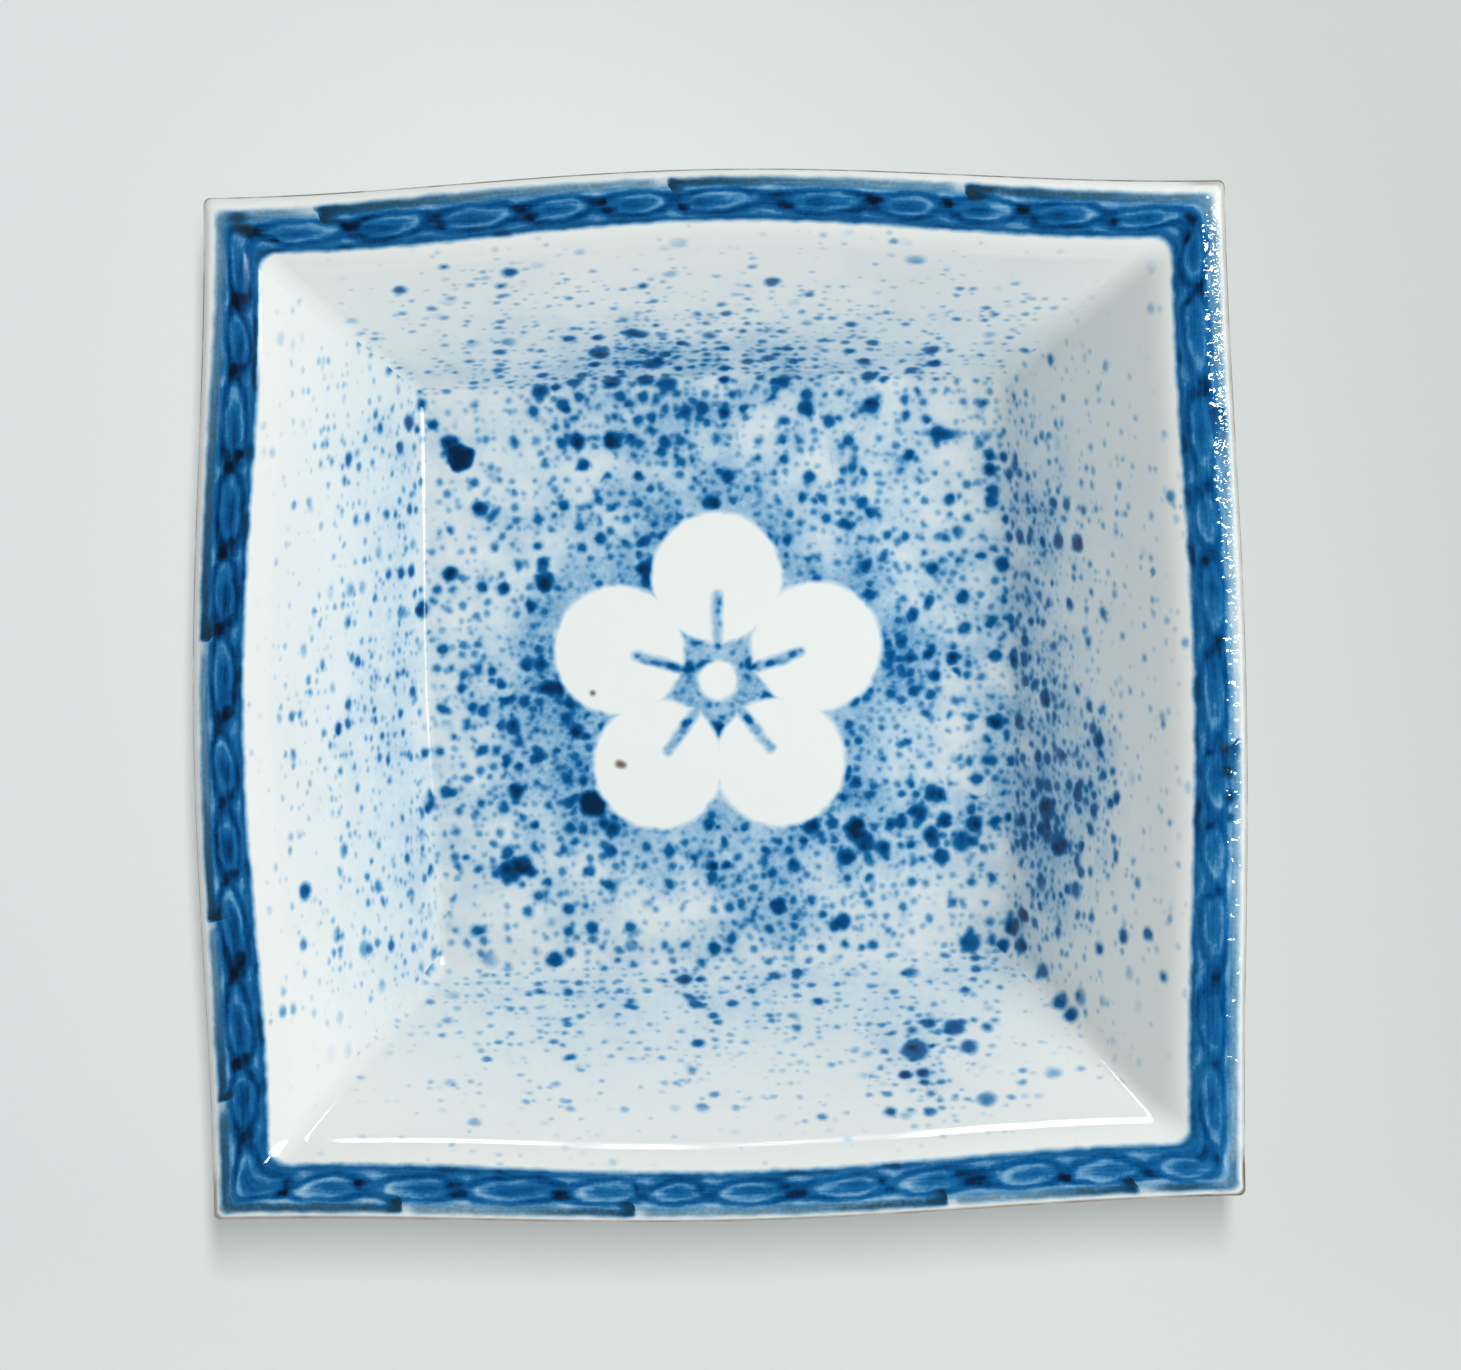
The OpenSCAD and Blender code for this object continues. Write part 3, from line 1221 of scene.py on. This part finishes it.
    def blown(self, shader: Shader, place: Value, x: Value, y: Value, z: Value) -> Value:
        """Thickness of the blown colour: mist and drops, kept off by the stencil.

        Args:
            shader: The material's shader.
            place: Coordinates in millimetres.
            x: Distance to the right.
            y: Distance to the back.
            z: Height.

        Returns:
            Thickness of 0 to 1.
        """
        plan = shader.vector("MULTIPLY", place, (1.0, 1.0, 0.0))
        stirred = shader.stirred(place, 1.3, 0.28)
        spread = shader.stirred(self.unrolled(shader, x, y, z), 1.0, 0.22)
        x_squared, y_squared = x * x, y * y
        away = (x_squared * x_squared + y_squared * y_squared).root().root()
        density = self.density(shader, place, plan, away)
        edge = self.blossom.edge(shader, x, y) + (shader.noise(place, 1.6) - 0.5) * 0.5
        near = edge.ease(*self.halo_fade)
        grain = shader.noise(place, 0.7, 2.0, 0.6)
        wide = away.ease(*self.well_fade)
        sloping = (z - self.floor_height).ease(0.0, 3.0)
        thin_mist = wide * wide * (0.050 + sloping * 0.050)
        mist = (density.ease(0.1, 1.3) * 0.22 + near * 0.17 + thin_mist) * (0.5 + grain)
        clear = 1.0 - mist
        for layer in self.layers:
            clear = clear * (1.0 - layer.thickness(shader, spread, density, wide))
        for drop in self.drops:
            clear = clear * (1.0 - drop.thickness(shader, stirred))
        return (1.0 - clear).at_most(0.92) * edge.ease(-self.blossom.blur / 2.0, self.blossom.blur / 2.0)

    def density(self, shader: Shader, place: Value, plan: Value, away: Value) -> Value:
        """How thickly the drops lie: a haze that thins outwards, puffs on top, all of it clumped.

        Args:
            shader: The material's shader.
            place: Coordinates in millimetres.
            plan: The same, laid flat.
            away: Distance from the middle, the same all along a square with round corners.

        Returns:
            The density, 0 to about 1.
        """
        clouds = shader.noise(place, self.cloud_size, 3.0, 0.6) - 0.5
        clumps = shader.noise(place, self.clump_size, 1.0, 0.5) - 0.5
        haze = (away + clouds * 20.0).ease(*self.haze_fade) * 0.56 + 0.055
        for puff in self.puffs:
            haze = haze + puff.density(shader, plan)
        return haze * (1.0 + clumps * 2.6)


@dataclass
class Coat:
    """What the border's paint comes to at a point: its place across, its colours and its surface."""

    v: Value
    thickness: Value
    smoky: Value
    smoke: Value
    seeped: Value
    pitted: Value


@dataclass(frozen=True)
class BorderPaint:
    """Cobalt chain border: watery wash, linked ovals begun with a loaded brush, a smoky line outside them.

    Places across the border are shares of the band's width. The paint runs a little past the band on
    either side, into the glaze of the walls, so that its edges are soft. A fade is given by the two
    distances from the dish's middle, in millimetres, between which it runs.
    """

    cobalt: Cobalt = field(default_factory=Cobalt)
    glaze: Glaze = field(default_factory=lambda: Glaze(roughness=0.05, pit_size=0.80, pit_height=0.11))
    smoky_fresh: Colour = srgb(28, 60, 72)
    smoky_spent: Colour = srgb(92, 124, 135)
    links: int = 45
    line_starts: tuple[float, ...] = (
        0.040, 0.100, 0.182, 0.228, 0.363, 0.450, 0.560, 0.638, 0.728, 0.857, 0.930, 0.976
    )
    inner_edge: float = -0.02
    outer_edge: float = 1.02
    soft_edge: float = 0.09
    line_middle: float = 0.95
    line_reach: float = 0.19
    side_fade: tuple[float, float] = (42.5, 45.5)
    drawn_in_fade: tuple[float, float] = (20.0, 44.0)
    halfway_fade: tuple[float, float] = (36.0, 14.0)
    steeped_fade: tuple[float, float] = (33.0, 42.0)
    cornered_fade: tuple[float, float] = (39.0, 43.0)
    touches: tuple[Drop, ...] = (
        Drop(-43.9, 45.8, 29.3, 0.85, 0.9, 0.9),
        Drop(-43.3, 44.6, 29.3, 0.75, 0.9, 0.9),
        Drop(47.1, -5.4, 29.4, 0.45, 0.7, 0.8),
        Drop(47.2, -7.6, 29.4, 0.55, 0.8, 0.9),
        Drop(47.4, -10.0, 29.4, 0.55, 0.8, 0.9),
        Drop(47.4, -11.9, 29.4, 0.40, 0.7, 0.8),
    )
    link_length: float = 0.55
    link_height: float = 0.34
    link_middle: float = 0.46
    tilt: float = 0.10

    def oval(self, along: Value, across: Value) -> Value:
        """Distance from the middle of a link, one on its outline: a tilted ellipse."""
        length = along / self.link_length
        height = (across - along * self.tilt) / self.link_height
        return (length * length + height * height).root()

    @staticmethod
    def dab(along: Value, across: Value, where: tuple[float, float], size: tuple[float, float]) -> Value:
        """Soft round touch of the brush, which may reach over into the next link.

        Args:
            along: Place along the link.
            across: Place across the band.
            where: Middle of the touch.
            size: Its reach along and across.

        Returns:
            One in its middle, easing to zero at its reach.
        """
        off_along = ((along - where[0] + 0.5).fraction() - 0.5) / size[0]
        off_across = (across - where[1]) / size[1]
        return (off_along * off_along + off_across * off_across).root().ease(1.0, 0.1)

    def chain(self, shader: Shader, place: Value, path: Value, u: Value, v: Value) -> Value:
        """How much thicker or thinner the colour lies for the links of the chain.

        Args:
            shader: The material's shader.
            place: Coordinates in millimetres.
            path: The border's map.
            u: Share of the way round.
            v: Share of the width, already a little shaken.

        Returns:
            What is added to the wash.
        """
        drift = shader.noise(place, 8.0, 1.0) - 0.5
        shake = shader.noise(shader.moved(place, (20.0, 7.0, 3.0)), 1.4, 2.0) - 0.5
        load = shader.noise(shader.moved(place, (0.0, 31.0, 9.0)), 4.0, 1.0).ease(0.32, 0.68)
        pace = shader.noise(shader.vector("MULTIPLY", path, (self.links / 2.5, 0.0, 0.0)), 1.0, 1.0) - 0.5
        pace = pace * u.ease(0.0, 0.03) * u.ease(1.0, 0.97)
        step = u * float(-self.links) + pace * 1.2 + shake * 0.22
        along = (step + 0.5).fraction() - 0.5
        across = v - self.link_middle + drift * 0.16 + shake * 0.05
        other = along - along.sign()
        oval = self.oval(along, across).at_most(self.oval(other, across))
        outline = abs(oval - 0.84).ease(0.30, 0.05)
        pale_ring = abs(oval - 0.56).ease(0.28, 0.0) * along.ease(-0.48, 0.22) * (1.1 - load * 0.7)
        core = self.dab(along, across, (-0.08, -0.02), (0.36, 0.16))
        upper_dab = self.dab(along, across, (-0.46, 0.11), (0.14, 0.19)) * (0.15 + 0.85 * load)
        lower_dab = self.dab(along, across, (-0.35, -0.10), (0.13, 0.16)) * (1.0 - 0.85 * load)
        pale_end = self.dab(along, across, (0.35, 0.03), (0.13, 0.18))
        joint_below = self.dab(along, across, (-0.49, -0.27), (0.20, 0.15))
        joint_above = self.dab(along, across, (0.47, 0.29), (0.20, 0.13))
        return (
            outline * 0.15
            - pale_ring * 0.17
            + core * 0.13
            + upper_dab * 0.32
            + lower_dab * 0.30
            - pale_end * 0.10
            - (joint_below + joint_above) * 0.13
        )

    def strokes(self, shader: Shader, u: Value) -> Value:
        """Count the strokes of the smoky line along the border: a whole number wherever one begins.

        Args:
            shader: The material's shader.
            u: Share of the way round.

        Returns:
            The count, which rises evenly between two starts.
        """
        starts = np.array(self.line_starts)
        around = np.concatenate([starts[-1:] - 1.0, starts, starts[:1] + 1.0])
        places = np.concatenate([[0.0], starts, [1.0]])
        shares = np.interp(places, around, np.arange(around.size)) / around.size
        greys = np.stack([shares, shares, shares, np.ones_like(shares)], axis=-1)
        stops = list(zip(places.tolist(), greys.tolist()))
        return shader.node("ShaderNodeValToRGB", {"stops": stops}, {"Fac": u}) * float(around.size)

    def lay(self, shader: Shader, place: Value) -> Coat:
        """Work out the paint from the border's map: along its path and across its width.

        Args:
            shader: The material's shader.
            place: Coordinates in millimetres.

        Returns:
            The paint at each point.
        """
        path = shader.node("ShaderNodeUVMap", {"uv_map": BORDER_MAP})
        u = shader.node("ShaderNodeSeparateXYZ", None, {0: path}, "X")
        plain_v = u.sibling("Y")
        x = shader.node("ShaderNodeSeparateXYZ", None, {0: place}, "X")
        right, left = x.ease(*self.side_fade), (-x).ease(*self.side_fade)
        y = x.sibling("Y")
        front, back = (-y).ease(*self.side_fade), y.ease(*self.side_fade)
        drawn_in = (back * abs(x).ease(*self.drawn_in_fade)).at_least(left * y.ease(*self.drawn_in_fade))
        halfway = abs(y).ease(*self.halfway_fade)
        wobble = shader.noise(place, 1.8, 2.0) - 0.5
        v = plain_v + wobble * 0.10 + drawn_in * 0.09
        streak_place = shader.vector("MULTIPLY", path, (110.0, 12.0, 1.0))
        streaks = shader.noise(streak_place, 1.0, 2.0, 0.6) - 0.5
        water = shader.noise(place, 3.4, 2.0, 0.5) - 0.5
        grain = shader.noise(place, 0.35, 2.0, 0.6) - 0.5
        bowed = ((v - self.line_middle) / self.line_reach) ** 2.0
        stroke = (wobble * 0.04 - bowed * 0.007 - self.strokes(shader, u)).fraction()
        steeped = (front * abs(x).ease(*self.steeped_fade)).at_least(left * (-y).ease(*self.steeped_fade))
        spent = (stroke + water * 0.3).ease(0.0, 0.8) * (1.0 - steeped * 0.8)
        # Along the right side the smoky line fades, most at its middle: partly the paint, partly painted
        # sheen where the key lamp is mirrored.
        sheen_faded_line = right * (0.25 + 0.5 * halfway)
        line = abs(v - self.line_middle).ease(self.line_reach, 0.02) * (1.0 - sheen_faded_line)
        pause = stroke.ease(0.940, 0.985).at_least(stroke.ease(0.018, 0.0))
        cornered = abs(x).at_most(abs(y)).ease(*self.cornered_fade)
        gap = pause * v.ease(0.76, 0.94) * (1.0 - right) * (1.0 - cornered) * 0.6
        blob = stroke.ease(0.08, 0.0) * abs(v - 0.88).ease(0.30, 0.08) * (1.0 - right * 0.5)
        for touch in self.touches:
            blob = blob.at_least(touch.thickness(shader, place))
        pale_strip = abs(v - 0.78).ease(0.09, 0.01) * (1.0 - blob)
        inner_zone = v.ease(0.18, 0.04)
        blots = inner_zone * shader.noise(shader.moved(place, (5.0, 40.0, 2.0)), 4.0, 1.0).ease(0.58, 0.70)
        wash = 0.62 + water * 0.38 + streaks * 0.30 + grain * 0.16 + left * 0.06 - front * 0.06
        wash = wash - pale_strip * 0.12 + inner_zone * 0.05 + blots * 0.20
        chained = self.chain(shader, place, path, u, v) * v.ease(0.92, 0.74) * (1.0 - right * 0.35)
        # Paler paint in the right lip's outer zone, most at the side's middle: a painted sheen standing in
        # for the key lamp's reflection.
        sheen_paleness = right * v.ease(0.70, 0.98) * (0.06 + 0.20 * halfway)
        thickness = wash + chained + blob * 0.32 - v.ease(0.78, 0.92) * spent * 0.24 - sheen_paleness
        inside = v.ease(self.inner_edge - self.soft_edge, self.inner_edge + self.soft_edge)
        outside = v.ease(self.outer_edge + self.soft_edge, self.outer_edge - self.soft_edge)
        painted = inside * outside * (1.0 - gap)
        smoky = shader.mix(self.smoky_fresh, self.smoky_spent, spent * v.ease(0.5, 0.7) * (1.0 - blob))
        mottle = shader.noise(place, 0.9, 2.0, 0.6) - 0.5
        smoke = line.at_least(blob) * (0.78 - spent * 0.20 + grain * 0.5 + mottle * 1.2)
        smoke = (smoke + inner_zone * 0.15 + blots * 0.30).at_least(0.0).at_most(0.9) * painted
        return Coat(
            v=plain_v,
            thickness=(thickness.at_least(0.15) * painted).at_most(1.0),
            smoky=smoky,
            smoke=smoke,
            seeped=plain_v.ease(1.07, 1.15) * (front * 0.75 + right * 0.45) * (0.9 + water),
            pitted=plain_v.ease(0.58, 0.80) * right,
        )

    def make(self) -> bpy.types.Material:
        """Make the band's own material."""
        made, shader = material("cobalt_border")
        place = shader.place()
        coat = self.lay(shader, place)
        colour = shader.mix(self.cobalt.colour(shader, coat.thickness), coat.smoky, coat.smoke)
        shader.finish(self.glaze.shade(shader, place, colour, pitted=coat.pitted))
        return made


@dataclass(frozen=True)
class EdgingPaint:
    """Thin iron-brown line on the rim, worn through to the white in places."""

    white: Colour = srgb(236, 236, 231)
    brown: Colour = srgb(112, 86, 64)
    glaze: Glaze = field(default_factory=lambda: Glaze(roughness=0.18))

    def make(self) -> bpy.types.Material:
        """Make the material: brown that comes and goes along the rim."""
        made, shader = material("iron_edging")
        place = shader.place()
        worn = shader.noise(place, 7.0, 4.0, 0.65).ease(0.30, 0.56)
        colour = shader.mix(self.white, self.brown, worn * 0.9)
        shader.finish(self.glaze.shade(shader, place, colour))
        return made


@dataclass(frozen=True)
class FootFinish:
    """Foot ring: white down its sides, bare along the edge that it stands on."""

    white: Colour = srgb(238, 241, 239)
    bare: Colour = srgb(226, 218, 203)
    speckled: Colour = srgb(205, 188, 164)
    glaze_line: float = 0.9
    glaze_blur: float = 0.3
    glaze: Glaze = field(default_factory=Glaze)

    def make(self) -> bpy.types.Material:
        """Make the material: bare clay below an uneven glaze line."""
        made, shader = material("foot_biscuit")
        place = shader.place()
        height = shader.node("ShaderNodeSeparateXYZ", None, {0: place}, "Z")
        line = height + (shader.noise(place, 4.0) - 0.5) * 0.5
        bare = line.ease(self.glaze_line + self.glaze_blur / 2.0, self.glaze_line - self.glaze_blur / 2.0)
        speckle = shader.noise(place, 0.4, 3.0).ease(0.3, 0.8)
        clay = shader.mix(self.bare, self.speckled, speckle * 0.5)
        colour = shader.mix(self.white, clay, bare)
        shader.finish(self.glaze.shade(shader, place, colour))
        return made


@dataclass
class WellFloor:
    """Flat base of the well."""

    form: DishForm
    rings: int = 24

    def build(self, finish: bpy.types.Material) -> bpy.types.Object:
        """Make the slab: the seam's outline, drawn in towards the middle above and below.

        Args:
            finish: The material.

        Returns:
            The floor piece.
        """
        form = self.form
        outline = form.all_round(np.array([[form.seam, form.z_floor]]))[:, 0, :2]
        middle = outline.mean(axis=0)
        draw = np.linspace(0.0, 1.0, self.rings)
        out_and_back = np.concatenate([draw, draw[::-1]])
        height = np.repeat([form.z_under, form.z_floor], self.rings)
        flat = middle + (outline - middle)[:, None, :] * out_and_back[None, :, None]
        points = np.dstack([flat, np.broadcast_to(height, flat.shape[:2])])
        piece = Surface("well_floor", points, True, poles=True).build(finish)
        gathered(Group.WELL).objects.link(piece)
        hand_over(piece, "floor_slab")
        return piece


@dataclass
class WallSlabs:
    """The four sloping walls with their rolled lip, mitred at the corners."""

    form: DishForm
    lamp_groups: dict[Side, Group] = field(
        default_factory=lambda: {Side.LEFT: Group.WELL, Side.RIGHT: Group.RIM, Side.FRONT: Group.FRONT}
    )

    def build(self, finish: bpy.types.Material) -> list[bpy.types.Object]:
        """Carry the wall's section along each side.

        Args:
            finish: The material of all four.

        Returns:
            The four walls.
        """
        inside, outside = self.form.wall_inside(), self.form.wall_outside()
        section = np.vstack([inside, outside])
        made = []
        for side in Side:
            name = side.name.lower()
            paint_map = self.form.paint_map(section, side)
            paint_map[:, len(inside):, 1] = OFF_BORDER
            surface = Surface(f"sloping_wall_{name}", self.form.carried(section, side)[:, ::-1], False)
            piece = surface.build(finish, (paint_map[:, ::-1],))
            if side in self.lamp_groups:
                gathered(self.lamp_groups[side]).objects.link(piece)
            hand_over(piece, f"wall_{name}")
            made.append(piece)
        return made


@dataclass
class BorderBand:
    """The blue border, a coat over the bend and the lip."""

    form: DishForm
    paint: BorderPaint

    def build(self) -> bpy.types.Object:
        """Carry the band's section right round and lay its map along it.

        Returns:
            The band.
        """
        form = self.form
        section = np.vstack([form.band_face(0.0), form.band_face(form.coat)[::-1]])[::-1]
        surface = Surface("chain_border", form.all_round(section), True)
        piece = surface.build(self.paint.make(), tuple(form.paint_map(section, side) for side in Side))
        gathered(Group.RIM).objects.link(piece)
        hand_over(piece, "border_band")
        return piece


@dataclass
class RimEdging:
    """The brown line along the very edge of the lip."""

    form: DishForm

    def build(self, finish: bpy.types.Material) -> bpy.types.Object:
        """Carry the line's section right round the edge.

        Args:
            finish: The material.

        Returns:
            The edging.
        """
        form = self.form
        section = np.vstack([form.edging_face(0.0), form.edging_face(form.coat)[::-1]])[::-1]
        piece = Surface("brown_edging", form.all_round(section), True).build(finish)
        hand_over(piece, "rim_edging")
        return piece


@dataclass
class FootRing:
    """Square ring with rounded corners that the dish stands on."""

    form: DishForm
    inset: float = 3.0
    thickness: float = 4.4
    lean: float = 0.6
    corner: float = 9.0
    bevel: float = 0.5
    arc_steps: int = 20

    def section(self) -> Array:
        """Section as distance in from the outer face and height, its lower edges softly rounded."""
        top, inner = self.form.foot_height, self.thickness
        quarter = math.pi / 2.0
        outside = arc(np.array([self.lean + self.bevel, self.bevel]), self.bevel, math.pi, 1.5 * math.pi, 6)
        inside = arc(np.array([inner - self.lean - self.bevel, self.bevel]), self.bevel, -quarter, 0.0, 6)
        return np.vstack([[0.0, top], outside, inside, [inner, top]])

    def build(self, finish: bpy.types.Material) -> bpy.types.Object:
        """Carry the section round a square with rounded corners.

        Args:
            finish: The material.

        Returns:
            The foot ring.
        """
        section = self.section()
        half = self.form.seam - self.inset
        straight = half - self.corner
        turn = np.linspace(0.0, math.pi / 2.0, self.arc_steps + 1)
        quarter = np.arange(4)[:, None] * math.pi / 2.0
        angle = (quarter + turn[None, :]).ravel()
        centre_angle = np.repeat(np.arange(4) * math.pi / 2.0 + math.pi / 4.0, turn.size)
        centre = straight * math.sqrt(2.0) * np.stack([np.cos(centre_angle), np.sin(centre_angle)], axis=-1)
        outward = np.stack([np.cos(angle), np.sin(angle)], axis=-1)
        reach = self.corner - section[:, 0]
        flat = centre[:, None, :] + outward[:, None, :] * reach[None, :, None]
        height = np.broadcast_to(section[None, :, 1:], (*flat.shape[:2], 1))
        piece = Surface("standing_foot", np.concatenate([flat, height], axis=-1), True).build(finish)
        hand_over(piece, "foot_ring")
        return piece


@dataclass
class SoftBox:
    """A rectangular studio lamp that looks at the dish.

    A polarised one is not mirrored in the glaze; one that is only there for its mirror image lights nothing
    else.
    """

    name: str
    place: tuple[float, float, float]
    width: float
    height: float
    radiance: float
    lights: Group = Group.DISH
    mirrored: bool = False
    lit: bool = True
    aim: tuple[float, float, float] = (0.0, 0.0, 20.0)

    def build(self) -> bpy.types.Object:
        """Make the lamp; its power follows from its area and how bright its face is."""
        light = bpy.data.lights.new(self.name, "AREA")
        light.shape = "RECTANGLE"
        light.size = self.width * MM
        light.size_y = self.height * MM
        light.energy = self.radiance * light.size * light.size_y * math.pi
        lamp = bpy.data.objects.new(self.name, light)
        lamp.location = Vector(self.place) * MM
        look = Vector(self.aim) - Vector(self.place)
        lamp.rotation_euler = look.to_track_quat("-Z", "Y").to_euler()
        lamp.light_linking.receiver_collection = gathered(self.lights)
        lamp.visible_glossy = self.mirrored
        lamp.visible_diffuse = self.lit
        bpy.context.scene.collection.objects.link(lamp)
        return lamp


@dataclass
class Camera:
    """Camera as fitted to the photograph: the dish's turn before it, the slide in view and the distance."""

    turn: tuple[float, float, float] = (7.5, 2.17, 1.14)
    slide: tuple[float, float] = (-2.04, 2.32)
    distance: float = 800.0
    focal_pixels: float = 8287.0
    sensor: float = 36.0

    def build(self) -> bpy.types.Object:
        """Make the camera and set it as the scene's."""
        data = bpy.data.cameras.new("camera")
        data.sensor_fit = "HORIZONTAL"
        data.sensor_width = self.sensor
        data.lens = self.focal_pixels / IMAGE_WIDTH * self.sensor
        made = bpy.data.objects.new("camera", data)
        to_world = Euler([math.radians(angle) for angle in self.turn], "XYZ").to_matrix().transposed()
        made.rotation_euler = to_world.to_euler()
        made.location = to_world @ Vector((-self.slide[0], -self.slide[1], self.distance)) * MM
        bpy.context.scene.collection.objects.link(made)
        bpy.context.scene.camera = made
        return made


@dataclass
class Studio:
    """Pale floor, soft lamps, even sky and the camera."""

    floor_size: float = 3000.0
    # The paper's colours shift by place as painted light and shade: darker to the right, lighter at the
    # front.
    paper_lighter_left: Colour = srgb(219, 225, 224)
    paper_shaded_right: Colour = srgb(209, 215, 213)
    paper_lit_front: Colour = srgb(226, 230, 228)
    paper_shade_fade: tuple[float, float] = (0.0, 90.0)
    front_light_fade: tuple[float, float] = (50.0, 74.0)
    paper_glow: float = 0.45
    sky_colour: tuple[float, float, float] = (0.97, 1.0, 1.0)
    sky: float = 0.10
    lamps: tuple[SoftBox, ...] = (
        SoftBox("key_right", (430.0, 64.0, 520.0), 286.0, 300.0, 10.5),
        SoftBox("broad_back", (60.0, 620.0, 520.0), 620.0, 620.0, 1.73),
        SoftBox("fill_front", (0.0, -640.0, 450.0), 600.0, 500.0, 2.06),
        SoftBox("fill_left", (-640.0, 0.0, 450.0), 500.0, 500.0, 1.25),
        SoftBox("well_spark", (409.0, 61.0, 495.0), 271.0, 285.0, 9.7, Group.WELL, True, False),
        SoftBox("rim_spark", (288.0, 8.0, 608.0), 34.0, 112.0, 60.0, Group.RIM, True, False),
        SoftBox("strip_back_left", (-14.0, 258.0, 55.0), 44.0, 38.0, 16.0, Group.FRONT, True, False),
        SoftBox("strip_back_right", (38.8, 258.0, 62.0), 51.0, 62.0, 18.0, Group.FRONT, True, False),
        SoftBox("floor_strip", (0.0, 315.0, 1250.0), 60.0, 270.0, 282.0, Group.STAGE),
    )
    camera: Camera = field(default_factory=Camera)

    def build(self) -> None:
        """Make the floor, the sky, the lamps and the camera."""
        self._floor()
        self._sky()
        for lamp in self.lamps:
            lamp.build()
        self.camera.build()
        bpy.context.scene.view_settings.view_transform = "Standard"

    def _floor(self) -> None:
        """Make the floor, with painted shade towards the right and painted light towards the front; part of
        its brightness is its own, for the eye and for reflections only.
        """
        reach = self.floor_size / 2.0 * MM
        corners = [(-reach, -reach, 0.0), (reach, -reach, 0.0), (reach, reach, 0.0), (-reach, reach, 0.0)]
        mesh = bpy.data.meshes.new("studio_floor")
        mesh.from_pydata(corners, [], [(0, 1, 2, 3)])
        made, shader = material("studio_paper")
        ray = shader.node("ShaderNodeLightPath", output="Is Camera Ray")
        seen = (ray + ray.sibling("Is Glossy Ray") + ray.sibling("Is Transmission Ray")).at_most(1.0)
        # Painted shade towards the right and painted light towards the front, by place on the floor.
        right = shader.node("ShaderNodeSeparateXYZ", None, {0: shader.place()}, "X")
        towards_back = right + right.sibling("Y") * 0.5
        colour = shader.mix(self.paper_lighter_left, self.paper_shaded_right, towards_back.ease(*self.paper_shade_fade))
        towards_front = -right.sibling("Y")
        colour = shader.mix(colour, self.paper_lit_front, towards_front.ease(*self.front_light_fade) * 0.6)
        paper = shader.node("ShaderNodeBsdfDiffuse", None, {"Color": colour})
        glow = shader.node("ShaderNodeEmission", None, {"Color": colour, "Strength": 1.0})
        share = seen * self.paper_glow
        shader.finish(shader.node("ShaderNodeMixShader", None, {0: share, 1: paper, 2: glow}))
        mesh.materials.append(made)
        floor = bpy.data.objects.new("studio_floor", mesh)
        gathered(Group.STAGE).objects.link(floor)

    def _sky(self) -> None:
        """Make the even light from all round."""
        world = bpy.data.worlds.new("studio_sky")
        world.use_nodes = True
        shader = Shader(world.node_tree)
        inputs = {"Color": (*self.sky_colour, 1.0), "Strength": self.sky}
        sky = shader.node("ShaderNodeBackground", None, inputs)
        shader.node("ShaderNodeOutputWorld", None, {"Surface": sky})
        bpy.context.scene.world = world


def main() -> None:
    """Build the dish piece by piece and the studio round it."""
    logging.basicConfig(level=logging.INFO, format="%(name)s: %(message)s")
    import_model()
    form = DishForm()
    border = BorderPaint()
    Studio().build()
    porcelain = SplatterGlaze().make(border)
    WellFloor(form).build(porcelain)
    WallSlabs(form).build(porcelain)
    FootRing(form).build(FootFinish().make())
    BorderBand(form, border).build()
    RimEdging(form).build(EdgingPaint().make())


if __name__ == "__main__":
    main()
